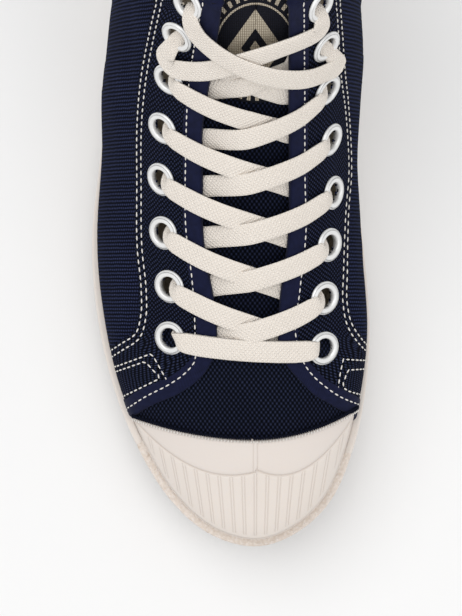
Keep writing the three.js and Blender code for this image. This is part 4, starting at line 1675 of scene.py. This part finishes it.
class Quarter:
    """One side of the canvas upper, from its front edge over the toe cap's wing to the back of the heel."""

    def __init__(self, kit: Kit, side: Side) -> None:
        """Reads the side's lines.

        Args:
            kit: the finishes.
            side: which side.
        """
        self.kit, self.side, self.sign = kit, side, float(side.value)
        self.lines = LINES[side]
        self.table_u = np.linspace(3.2, LAST_ROW, 700)
        self.table_v = throat_v(self.sign, self.table_u)
        centres = np.array([pair[0 if side is Side.LATERAL else 1] for pair in EYELETS])
        u, v = LAST.over(self.sign, centres[:, 0], centres[:, 1])
        self.eyelets = LAST.point(self.sign, u, v)

    def top(self, u: Array, back: float = 0.0) -> Array:
        """How far up the sections the cloth reaches, less some millimetres."""
        top = np.interp(u, self.table_u, self.table_v)
        return top - back / 40.0

    def front(self, v: Array) -> Array:
        """Row coordinate of the front edge."""
        keys = np.array(self.lines.front)
        return np.interp(v, keys[:, 0], keys[:, 1])

    def spread(
        self, s: Array, t: Array, low: float = -0.6, back: float = 0.0
    ) -> tuple[Array, Array]:
        """Places over the whole side.

        Args:
            s, t: shares along and up it.
            low: place up the sections where it starts.
            back: millimetres that it stops short of its top.

        Returns:
            The u and the v.
        """
        u = self.front(t * 0.78) + s * (LAST_ROW - self.front(t * 0.78))
        v = low + t * (self.top(u, back) - low)
        for _ in range(8):
            start = self.front(v)
            u = start + s * (LAST_ROW - start)
            v = low + t * (self.top(u, back) - low)
        return u, v

    def open_share(self, u: Array, v: Array) -> Array:
        """1 where the side panel lies free of the facing, 0 where it runs under it."""
        seam = self.seam_trail()
        order = np.argsort(seam.u)
        reach = np.interp(u, np.append(seam.u[order], 10.6), np.append(seam.v[order], 1.3), left=0.0)
        return smoothstep(reach - v, 0.03, 0.14)

    def edge_trail(self) -> Trail:
        """The free edge: up the front, round the throat's foot and up the throat to the collar."""
        front = np.array(self.lines.front)[1:]
        up = np.linspace(self.front(np.array(0.78)) + 0.12, 10.45, 120)
        u = np.concatenate([front[:, 1], up])
        v = np.concatenate([front[:, 0], self.top(up)])
        return Trail.resampled(self.sign, u, v, 0.9, soften=10)

    def seam_trail(self) -> Trail:
        """The seam between side panel and facing, from the collar down."""
        return Trail.through(self.sign, self.lines.seam, 0.9)

    def facing_pairs(self) -> tuple[Array, Array]:
        """The facing's two edges, from tape to collar.

        Returns:
            The (u, v) rows of its seam edge and of its free edge.
        """
        seam = self.seam_trail()
        pushed = seam.moved(2.3 * self.sign)
        outer = np.stack([pushed.u, pushed.v], -1)[::-1]
        foot = outer[0] + np.array([-0.05, -outer[0][1] - 0.3])
        outer = np.concatenate([[foot], outer])
        crown = np.array([[10.75, 1.0]])
        outer = np.concatenate([outer, crown])
        edge = self.edge_trail()
        inner = np.stack([edge.u, edge.v], -1)
        inner = np.concatenate([[[inner[0][0], -0.3]], inner])
        return outer, inner

    def facing_place(self, s: Array, t: Array) -> Array:
        """The facing's outer face.

        Args:
            s: shares along, from tape to collar.
            t: shares across, from its seam edge to its free edge.

        Returns:
            The points.
        """
        outer, inner = self.facing_pairs()

        def keyed(line: Array, corner_u: float) -> Array:
            """The edge's places at the shares along, with its corner always at the same share."""
            p = LAST.point(self.sign, line[:, 0], line[:, 1])
            run = run_of(p)
            bend = int(np.argmin(np.abs(line[:, 0] - corner_u) + (line[:, 1] < 0.3)))
            at = np.interp(run, [0, run[bend], run[-1]], [0, 0.26, 1])
            share = s[:, 0]
            return np.stack([np.interp(share, at, line[:, k]) for k in range(2)], -1)

        a, b = keyed(outer, 4.85), keyed(inner, 4.6)
        u = a[:, None, 0] + (b - a)[:, None, 0] * t
        v = a[:, None, 1] + (b - a)[:, None, 1] * t
        bulk = relief(self.sign, LAST.point(self.sign, u, v))
        return LAST.point(self.sign, u, v, -bulk)

    def tape_place(self, s: Array, t: Array) -> Array:
        """Binding tape folded over the free edge.

        Args:
            s: shares along the edge.
            t: shares across the tape, from its outside edge to its inside one.

        Returns:
            The points.
        """
        trail = self.edge_trail()
        way = -self.sign
        keys = ((6.3, -0.1), (6.3, 0.3), (5.9, 0.42), (3.0, 0.5), (0.6, 0.5), (0.0, 0.38), (-0.35, 0.0),
                (-0.4, -0.9), (-0.25, -1.7), (0.2, -2.0), (2.5, -2.0))
        lines = np.stack([trail.beside(way * w, lift) for w, lift in keys], 1)
        at = np.linspace(0, 1, len(keys))
        rows = s[:, 0] * (len(trail.u) - 1)
        lower = np.clip(rows.astype(int), 0, len(trail.u) - 2)
        part = (rows - lower)[:, None, None]
        lines = lines[lower] * (1 - part) + lines[lower + 1] * part
        return np.stack([np.stack([np.interp(t[0], at, line[:, k]) for k in range(3)], -1) for line in lines])

    def build(self) -> None:
        """Makes the side's pieces."""
        kit, word = self.kit, self.side.word

        def panel(s: Array, t: Array) -> Array:
            """The side panel's outer face, sunk where it runs under the facing."""
            u, v = self.spread(s, t, back=0.3)
            bulk = relief(self.sign, LAST.point(self.sign, u, v))
            return LAST.point(self.sign, u, v, 0.7 - 0.75 * self.open_share(u, v) - bulk)

        def inner(s: Array, t: Array) -> Array:
            """The lining's outer face."""
            u, v = self.spread(s, t, back=0.4)
            bulk = relief(self.sign, LAST.point(self.sign, u, v))
            return LAST.point(self.sign, u, v, 1.35 - bulk)

        holes, wide_holes = (self.eyelets, 3.9), (self.eyelets, 5.0)
        Sheet(f"side_panel_{word}", (300, 72), panel, kit.side_canvas, Slot.CANVAS, 0.55, holes=holes).build()
        Sheet(f"facing_{word}", (260, 44), self.facing_place, kit.facing_canvas, Slot.CANVAS, 0.6, anchor=1.0,
              holes=holes).build()
        Sheet(f"lining_{word}", (200, 60), inner, kit.lining, Slot.LINING, 0.35, holes=wide_holes).build()
        Sheet(f"binding_{word}", (320, 30), self.tape_place, kit.tape, Slot.CANVAS).build()
        self.sew()
        LOG.info("%s quarter built", word)

    def sew(self) -> None:
        """Sews the seams of the side."""
        word = self.side.word
        seam = self.seam_trail()
        thread = self.kit.thread
        Stitching().sew(f"seam_stitches_{word}", [(seam, 1.1, 0.12), (seam, -1.1, 0.12)], thread)
        binding = Trail.through(self.sign, self.lines.binding, 0.9)
        Stitching(2.7, 1.9, 0.27).sew(f"binding_stitches_{word}", [(binding, 0.0, 0.6)], thread)
        rows = [
            (Trail.through(self.sign, line, 0.7, soft=False), 0.0, 0.2)
            for line in (self.lines.patch_outer, self.lines.patch_inner)
        ]
        Stitching(2.5, 1.8, 0.29).sew(f"patch_stitches_{word}", rows, thread)
        u = np.linspace(3.55, LAST_ROW - 0.1, 300)
        foot = Trail.resampled(self.sign, u, np.full(u.shape, 0.012), 0.9)
        Stitching(1.3, 0.6, 0.34).sew(f"cut_edge_{word}", [(foot, 0.0, 0.1)], thread)


@dataclass
class Vamp:
    """Canvas between the toe cap and the throat.

    Attributes:
        kit: the finishes.
        rows: row coordinates under the cap and under the throat's foot.
        depth: how deep its face lies under the facings' face.
    """

    kit: Kit
    rows: Pair = (2.9, 4.86)
    depth: float = 0.8

    def place(self, s: Array, t: Array) -> Array:
        """The vamp's outer face, across from the lateral tape to the medial one."""
        side = np.where(t < 0.5, -1.0, 1.0)
        v = -0.5 + 1.5 * (1 - np.abs(2 * t - 1))
        u = self.rows[0] + s * (self.rows[1] - self.rows[0])
        base = LAST.point(side, u, v)
        bulk = np.where(side < 0, relief(-1.0, base), relief(1.0, base))
        sink = self.depth + 2.6 * smoothstep(base[..., 1], -67.5, -61.0)
        return LAST.point(side, u, v, sink - bulk)

    def build(self) -> bpy.types.Object:
        """Makes the vamp.

        Returns:
            The vamp piece.
        """
        canvas = self.kit.vamp_canvas
        return Sheet("vamp", (110, 200), self.place, canvas, Slot.CANVAS, 0.8, anchor=0.5).build()


@dataclass
class Tongue:
    """Canvas tongue with its round label.

    Attributes:
        kit: the finishes.
        row: row where it starts under the vamp.
        half_width: half its width.
        rise: millimetres above the collar.
        wrap: rows that its top corners reach round the collar.
        thick: its thickness.
        label_at: plan place of the label's middle.
        label_r: the label's radius.
    """

    kit: Kit
    row: float = 4.7
    half_width: float = 25.0
    rise: float = 11.0
    wrap: float = 0.75
    thick: float = 2.0
    label_at: Pair = (8.0, 34.4)
    label_r: float = 19.5

    def share(self, side: Array, u: Array) -> Array:
        """How far down from the ridge the tongue's edge lies, as a share of the section."""
        ridge = LAST.point(side, u, 1.0, TONGUE_DEPTH)[..., 0]

        def wide(v: Array) -> Array:
            """Whether a place lies beyond the tongue's edge."""
            return np.abs(LAST.point(side, u, v, TONGUE_DEPTH)[..., 0] - ridge) > self.half_width

        return 1 - halved(np.full(u.shape, 0.3), np.ones(u.shape), 20, wide)[1]

    def place(self, s: Array, t: Array) -> Array:
        """The tongue's outer face.

        Args:
            s: shares along, from under the vamp to the free end.
            t: shares across, from the lateral edge to the medial one.

        Returns:
            The points.
        """
        cross = 2 * t - 1
        side = np.where(cross < 0, -1.0, 1.0)
        body = 0.9
        part = np.minimum(s / body, 1.0)
        u = self.row + part * (SHAFT_FRONT + self.wrap * np.abs(cross) - self.row)
        closing = 1 - smoothstep(part, 0.72, 1.0)
        share = self.share(side, np.minimum(u, SHAFT_FRONT))
        points = LAST.point(side, u, 1 - np.abs(cross) * share * closing, TONGUE_DEPTH)
        for _ in range(60):
            points[:, 1:-1] = (points[:, :-2] + 2 * points[:, 1:-1] + points[:, 2:]) / 4
        last_body = int(np.searchsorted(s[:, 0], body))
        end = points[last_body]
        along = unit(end - points[max(last_body - 4, 0)])
        middle = along[len(along) // 2]
        over = np.clip((s - body) / (1 - body), 0, 1)[..., None]
        reach = self.rise * (1 - 0.35 * np.abs(cross[0]) ** 3)
        lifted = end[None] + middle * reach[None, :, None] * over
        return np.where(s[..., None] > body, lifted, points)

    def label_place(self, s: Array, t: Array) -> Array:
        """The label's face as a disc on the tongue, along its radius and round it."""
        radius, angle = s * self.label_r, t * 2 * np.pi
        x0, y0 = self.label_at
        x, y = x0 + radius * np.cos(angle), y0 + radius * np.sin(angle)
        side = np.where(x < RIDGE_X, -1.0, 1.0)
        u, v = LAST.over(side, x, y)
        return LAST.point(side, u, v, TONGUE_DEPTH - 0.45)

    def build(self) -> None:
        """Makes the tongue and its label."""
        tongue = Sheet("tongue_pad", (150, 80), self.place, self.kit.tongue_canvas, Slot.CANVAS, self.thick,
                       anchor=0.5).build()
        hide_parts("tongue")
        label = Sheet("tongue_label", (24, 96), self.label_place, self.kit.label, Slot.CANVAS, 0.5).build()
        self.centre_cloth(label)

    def centre_cloth(self, label: bpy.types.Object) -> None:
        """Measures the label's cloth from its middle, level with the shoe."""
        layer = label.data.uv_layers["cloth"].data
        verts = label.data.vertices
        x0, y0 = self.label_at
        for loop in label.data.loops:
            co = verts[loop.vertex_index].co / METRE
            layer[loop.index].uv = (co.x - x0, co.y - y0)


@dataclass
class Eyelets:
    """Sixteen rolled metal eyelets.

    Attributes:
        kit: the finishes.
        depth: millimetres that each barrel reaches inwards.
    """

    kit: Kit
    depth: float = 1.3

    def profile(self) -> tuple[Pair, ...]:
        """The rolled ring's section.

        Returns:
            Radius and height of its corners, from the barrel's foot over the flange and back.
        """
        hole, rim = EYELET_HOLE_R, EYELET_FLANGE_R
        middle = (hole + rim) / 2 + 0.15
        return (
            (hole, -self.depth), (hole, 0.3), (hole + 0.06, 0.75), (hole + 0.35, 1.12), (hole + 0.75, 1.25),
            (middle - 0.25, 1.16), (middle, 1.1), (middle + 0.3, 1.13), (rim - 0.75, 1.12), (rim - 0.3, 0.92),
            (rim - 0.05, 0.6), (rim, 0.3), (rim - 0.12, 0.1), (rim - 0.5, 0.05), (hole + 0.45, 0.05),
            (hole + 0.45, -self.depth), (hole, -self.depth),
        )

    def build(self) -> None:
        """Makes each eyelet in its place."""
        for k, pair in enumerate(EYELETS, start=1):
            for side, (x, y) in zip((Side.LATERAL, Side.MEDIAL), pair):
                u, v = LAST.over(float(side.value), x, y)
                centre = LAST.point(float(side.value), u, v)
                normal = LAST.normal(float(side.value), u, v)
                self.one(f"{side.word}_{k}", Vector(centre), Vector(normal))

    def one(self, word: str, centre: Vector, normal: Vector) -> None:
        """Spins one eyelet round its axis.

        Args:
            word: its side and number.
            centre: its place on the canvas.
            normal: its axis.
        """
        z = normal.normalized()
        x = (Vector((1, 0, 0)) - z * z.x).normalized()
        stand = placed(x, z.cross(x), z, centre)
        bm = bmesh.new()
        rings = [bm.verts.new((r, 0, h)) for r, h in self.profile()[:-1]]
        edges = [bm.edges.new((a, b)) for a, b in zip(rings, rings[1:] + rings[:1])]
        bmesh.ops.spin(bm, geom=rings + edges, axis=(0, 0, 1), cent=(0, 0, 0), angle=2 * math.pi, steps=40,
                       use_merge=True)
        bmesh.ops.remove_doubles(bm, verts=bm.verts, dist=1e-5)
        bmesh.ops.recalc_face_normals(bm, faces=bm.faces)
        bmesh.ops.transform(bm, matrix=stand, verts=bm.verts)
        ring = settle(f"eyelet_ring_{word}", bm, self.kit.metal, Slot.EYELET)
        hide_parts(f"eyelet_{word}")


@dataclass
class Lace:
    """One flat lace, threaded from the bottom bar up to the top pair of eyelets.

    Attributes:
        kit: the finishes.
        inside: how deep it runs behind the facings.
        sags: how far each crossing hangs towards the toe, into the lateral and the medial eyelet, by pair.
        over, under: plan places of the two top runs, from the top eyelet to the one below across the throat.
    """

    kit: Kit
    inside: float = -2.8
    sags: tuple[Pair, ...] = (
        (0.0, 0.0), (2.8, 5.2), (3.8, 5.2), (4.2, 7.4), (5.0, 8.6), (5.0, 10.2), (9.5, 9.5),
    )
    over: tuple[Pair, ...] = (
        (-14.1, 48.1), (-11.0, 41.0), (-5.6, 35.6), (1.3, 31.2), (8.7, 28.0), (16.4, 26.3), (25.1, 26.6),
        (30.7, 28.6), (33.7, 32.0), (31.6, 35.6),
    )
    under: tuple[Pair, ...] = (
        (29.3, 47.7), (28.3, 41.0), (22.8, 37.6), (16.4, 35.0), (8.7, 32.3), (0.5, 29.8), (-7.4, 28.2),
        (-13.7, 28.4), (-19.2, 30.0), (-20.8, 33.4), (-17.8, 38.5),
    )

    @staticmethod
    def seat(x: Array, y: Array) -> tuple[Array, Array]:
        """Points and normals of the last straight over plan places."""
        side = np.where(np.asarray(x) < RIDGE_X, -1.0, 1.0)
        u, v = LAST.over(side, x, y)
        return LAST.point(side, u, v), LAST.normal(side, u, v)

    @staticmethod
    def crossing(start: Pair, end: Pair, stops: Iterable[Pair],
                 sag: float) -> tuple[list[Pair], list[float]]:
        """Plan places and lifts of a run between two eyelets.

        Args:
            start, end: the two eyelets.
            stops: shares of the way and the lifts there.
            sag: how far the middle hangs towards the toe.

        Returns:
            The places and the lifts.
        """
        (x0, y0), (x1, y1) = start, end
        stops = list(stops)
        hang = [sag * math.sin(math.pi * t) ** 0.65 for t, _ in stops]
        places = [(x0 + (x1 - x0) * t, y0 + (y1 - y0) * t - h) for (t, _), h in zip(stops, hang)]
        return places, [lift for _, lift in stops]

    def strand(self, first: int) -> tuple[list[Pair], list[float], list[float]]:
        """Half of the lace from the middle of the bar.

        Args:
            first: which side's first eyelet it enters, 0 lateral or 1 medial.

        Returns:
            Plan places, lifts and width factors.
        """
        plan, lifts, widths = [], [], []

        def put(places: Iterable[Pair], heights: Iterable[float], factor: Iterable[float]) -> None:
            """Adds points to the strand."""
            plan.extend(places)
            lifts.extend(heights)
            widths.extend(factor)

        def towards(hole: Pair, other: Pair, mm: float) -> Pair:
            """The plan place some millimetres from a hole towards another place."""
            dx, dy = other[0] - hole[0], other[1] - hole[1]
            size = math.hypot(dx, dy)
            return hole[0] + dx / size * mm, hole[1] + dy / size * mm

        def steps(hole: Pair, other: Pair, *far: float) -> list[Pair]:
            """Plan places at several distances from a hole towards another place."""
            return [towards(hole, other, mm) for mm in far]

        def dive(hole: Pair, came: Pair, goes: Pair) -> None:
            """From outside down into the hole and off behind the facing."""
            put(steps(hole, came, 6.2, 4.4, 2.9, 1.9),
                [1.85, 1.9, 1.25, -0.2], [0.95, 0.84, 0.74, 0.66])
            put(steps(hole, goes, 1.8, 3.2, 6.0),
                [-2.1, -2.9, self.inside], [0.66, 0.76, 0.92])

        def rise(hole: Pair, came: Pair, goes: Pair) -> None:
            """From behind the facing up through the hole and off on the outside."""
            put(steps(hole, came, 6.0, 3.2, 1.8),
                [self.inside, -2.9, -2.1], [0.92, 0.76, 0.66])
            put(steps(hole, goes, 1.7, 2.7, 4.2, 6.0),
                [0.1, 1.4, 2.0, 2.0], [0.66, 0.74, 0.84, 0.95])

        pair = lambda k, side: EYELETS[k][side]
        side = first
        bar = self.crossing(pair(0, side), pair(0, 1 - side), [(0.5, 1.0), (0.32, 1.1), (0.19, 1.3)], 2.3)
        put(*bar, [1.0] * 3)
        dive(pair(0, side), bar[0][-1], pair(1, 1 - side))
        for k in range(1, 6):
            side = 1 - side
            hole, far = pair(k, side), pair(k - 1, 1 - side)
            low, upper, high = (-1.2 + 0.35, 0.95, 1.0) if side == 1 else (-1.2, -0.55, 0.55)
            stops = [(0.80, -2.75), (0.70, -2.3), (0.60, low), (0.5, upper), (0.38, high), (0.27, 1.25),
                     (0.18, 1.35)]
            places, heights = self.crossing(hole, far, stops, self.sags[k][side])
            put(places, heights, [1.0] * len(stops))
            onward = pair(k + 1, 1 - side)
            dive(hole, places[-1], onward)
        side = 1 - side
        hole, far = pair(6, side), pair(5, 1 - side)
        deep = -2.0 if side == 1 else -3.1
        stops = [(0.8, -2.8), (0.65, -2.8), (0.5, deep), (0.35, -2.8), (0.2, -2.8)]
        places, heights = self.crossing(hole, far, stops, self.sags[6][side])
        put(places, heights, [1.0] * 5)
        path = self.over if side == 1 else self.under
        run = list(path)[::-1]
        rise(hole, far, run[1])
        middle = 2.9 if side == 1 else 1.5
        inner = run[2:-1]
        count = len(inner)
        arched = [2.0 + (middle - 2.0) * math.sin(math.pi * (i + 1) / (count + 1)) for i in range(count)]
        put(inner, arched, [1.0] * count)
        end, came = run[-1], run[-2]
        put(steps(end, came, 4.4, 2.9, 1.8, 1.2),
            [1.9, 1.2, -0.6, -2.4], [0.84, 0.74, 0.66, 0.66])
        return plan, lifts, widths

    def build(self) -> float:
        """Makes the lace.

        Returns:
            Its length in millimetres.
        """
        down = self.strand(0)
        up = self.strand(1)
        plan, lifts, widths = (list(a)[::-1] + list(b)[1:] for a, b in zip(down, up))
        plan, lifts, widths = np.array(plan), np.array(lifts), np.array(widths)
        points, normals = self.seat(plan[:, 0], plan[:, 1])
        points = points + normals * lifts[:, None]
        chord = run_of(points)
        fine = np.linspace(0, chord[-1], int(chord[-1] / 0.9))
        path = np.stack([smooth_table(fine, chord, points[:, k]) for k in range(3)], -1)
        for _ in range(3):
            path[1:-1] = (path[:-2] + 2 * path[1:-1] + path[2:]) / 4
        normal = unit(np.stack([np.interp(fine, chord, normals[:, k]) for k in range(3)], -1))
        factor = np.interp(fine, chord, widths)
        ahead = unit(np.gradient(path, axis=0))
        broad = np.cross(normal, ahead)
        steep = np.linalg.norm(broad, axis=1) < 0.55
        broad = unit(broad)
        held = np.zeros_like(broad)
        held[0] = broad[0]
        for i in range(1, len(broad)):
            wanted = held[i - 1] if steep[i] else broad[i] * (1 if broad[i] @ held[i - 1] >= 0 else -1)
            held[i] = unit(wanted - (wanted @ ahead[i]) * ahead[i])
        for _ in range(6):
            held[1:-1] = unit(held[:-2] + 2 * held[1:-1] + held[2:])
        half_width = LACE_WIDTH / 2 * factor
        half_thick = LACE_THICK / 2 * (1 + 0.9 * (1 - factor))
        lace = swept("lace", path, held, (half_width, half_thick), 16, 0.62, self.kit.lace, Slot.COTTON)
        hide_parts("lace_bar", *(f"lace_crossing_{k}" for k in range(2, 9)))
        return float(run_of(path)[-1])


@dataclass
class Collar:
    """Tape round the collar and the strip up the back of the heel.

    Attributes:
        kit: the finishes.
        start: row where the tape starts on each side.
        outside: millimetres that it reaches down outside.
        strip: half width of the heel strip.
    """

    kit: Kit
    start: float = 10.4
    outside: float = 5.5
    strip: float = 9.0

    def place(self, s: Array, t: Array) -> Array:
        """The tape's face.

        Args:
            s: shares along, from one end round the heel to the other.
            t: shares across, from outside over the collar's edge to the inside.

        Returns:
            The points.
        """
        way = 2 * s - 1
        side = np.where(way < 0, -1.0, 1.0)
        u = LAST_ROW - (LAST_ROW - self.start) * np.abs(way)
        keys = np.array([(self.outside, 0.0), (self.outside, -0.45), (3.0, -0.6), (0.8, -0.6), (0.1, -0.3),
                         (-0.35, 0.4), (-0.35, 1.2), (0.1, 1.9), (0.8, 2.15), (4.5, 2.15)])
        drop, depth = read_keys(t, keys)
        _, up = LAST.slopes(side, u, np.full(u.shape, 0.97))
        v = 1 - drop / np.linalg.norm(up, axis=-1)
        return LAST.point(side, u, v, depth)

    def strip_place(self, s: Array, t: Array) -> Array:
        """The heel strip's face, up from the foxing and across the heel."""
        cross = 2 * t - 1
        side = np.where(cross < 0, -1.0, 1.0)
        half = self.strip * (1 - 0.25 * s)
        along, _ = LAST.slopes(side, np.full(s.shape, LAST_ROW - 0.2), s * 0.97)
        u = LAST_ROW - np.abs(cross) * half / np.maximum(np.linalg.norm(along, axis=-1), 1e-3)
        return LAST.point(side, u, -0.05 + s * 1.03, 0.05)

    def build(self) -> None:
        """Makes both tapes and their stitches."""
        Sheet("collar_tape", (300, 30), self.place, self.kit.tape, Slot.CANVAS).build()
        Sheet("heel_strip", (60, 24), self.strip_place, self.kit.side_canvas, Slot.CANVAS, 0.6).build()
        rows = []
        for side in (-1.0, 1.0):
            u = np.linspace(self.start + 0.1, LAST_ROW - 0.02, 240)
            _, up = LAST.slopes(side, u, np.full(u.shape, 0.97))
            trail = Trail.resampled(side, u, 1 - 4.0 / np.linalg.norm(up, axis=-1), 0.9)
            rows.append((trail, 0.0, 0.65))
        Stitching().sew("collar_stitches", rows, self.kit.thread)


@dataclass
class Studio:
    """Floor, light and camera.

    Attributes:
        height: the camera's height in metres.
        eye: its place in plan.
        lens: focal length in millimetres.
        film: the camera's sensor width in millimetres.
        sky: strength of the white surroundings.
        lamps: name, place in metres, width in metres and power in watts of each lamp.
        aim: the place that the lamps look at, in metres.
    """

    height: float = 1.4
    eye: Pair = (0.0, -0.0515)
    lens: float = 227.3
    film: float = 36.0
    sky: float = 0.77
    lamps: tuple[tuple[str, tuple[float, float, float], float, float], ...] = (
        ("key", (-0.42, 0.35, 1.25), 1.2, 6.4),
        ("fill", (0.5, -0.5, 1.2), 1.2, 3.9),
    )
    aim: tuple[float, float, float] = (0.0, -0.03, 0.03)

    def build(self) -> None:
        """Sets up the stage."""
        bm = bmesh.new()
        bmesh.ops.create_grid(bm, x_segments=1, y_segments=1, size=2.0)
        mesh = bpy.data.meshes.new("floor")
        bm.to_mesh(mesh)
        bm.free()
        mesh.materials.append(Paper().build())
        floor = bpy.data.objects.new("floor", mesh)
        bpy.context.scene.collection.objects.link(floor)
        for lamp in self.lamps:
            self.light(*lamp)
        world = bpy.data.worlds.new("studio")
        bpy.context.scene.world = world
        world.use_nodes = True
        backdrop = world.node_tree.nodes["Background"]
        backdrop.inputs["Color"].default_value = (1, 1, 1, 1)
        backdrop.inputs["Strength"].default_value = self.sky
        camera = bpy.data.cameras.new("camera")
        camera.lens = self.lens
        camera.sensor_width = self.film
        eye = bpy.data.objects.new("camera", camera)
        eye.location = (*self.eye, self.height)
        bpy.context.scene.collection.objects.link(eye)
        bpy.context.scene.camera = eye
        bpy.context.scene.view_settings.view_transform = "Standard"

    def light(self, name: str, at: tuple[float, float, float], size: float, power: float) -> None:
        """Sets up a round area light that looks at the shoe.

        Args:
            name: its name.
            at: its place.
            size: its width.
            power: its power.
        """
        data = bpy.data.lights.new(name, "AREA")
        data.shape, data.size, data.energy = "DISK", size, power
        lamp = bpy.data.objects.new(name, data)
        lamp.location = at
        lamp.rotation_euler = (Vector(self.aim) - Vector(at)).to_track_quat("-Z", "Y").to_euler()
        bpy.context.scene.collection.objects.link(lamp)


def main() -> None:
    """Builds the shoe and its stage."""
    logging.basicConfig(level=logging.INFO, format="%(name)s: %(message)s")
    kit = Kit.made()
    Studio().build()
    Sole(kit).build()
    ToeCap(kit).build()
    vamp = Vamp(kit).build()
    for side in Side:
        Quarter(kit, side).build()
    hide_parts("upper")
    Tongue(kit).build()
    Eyelets(kit).build()
    length = Lace(kit).build()
    LOG.info("lace length %.0f mm", length)
    Collar(kit).build()


if __name__ == "__main__":
    main()
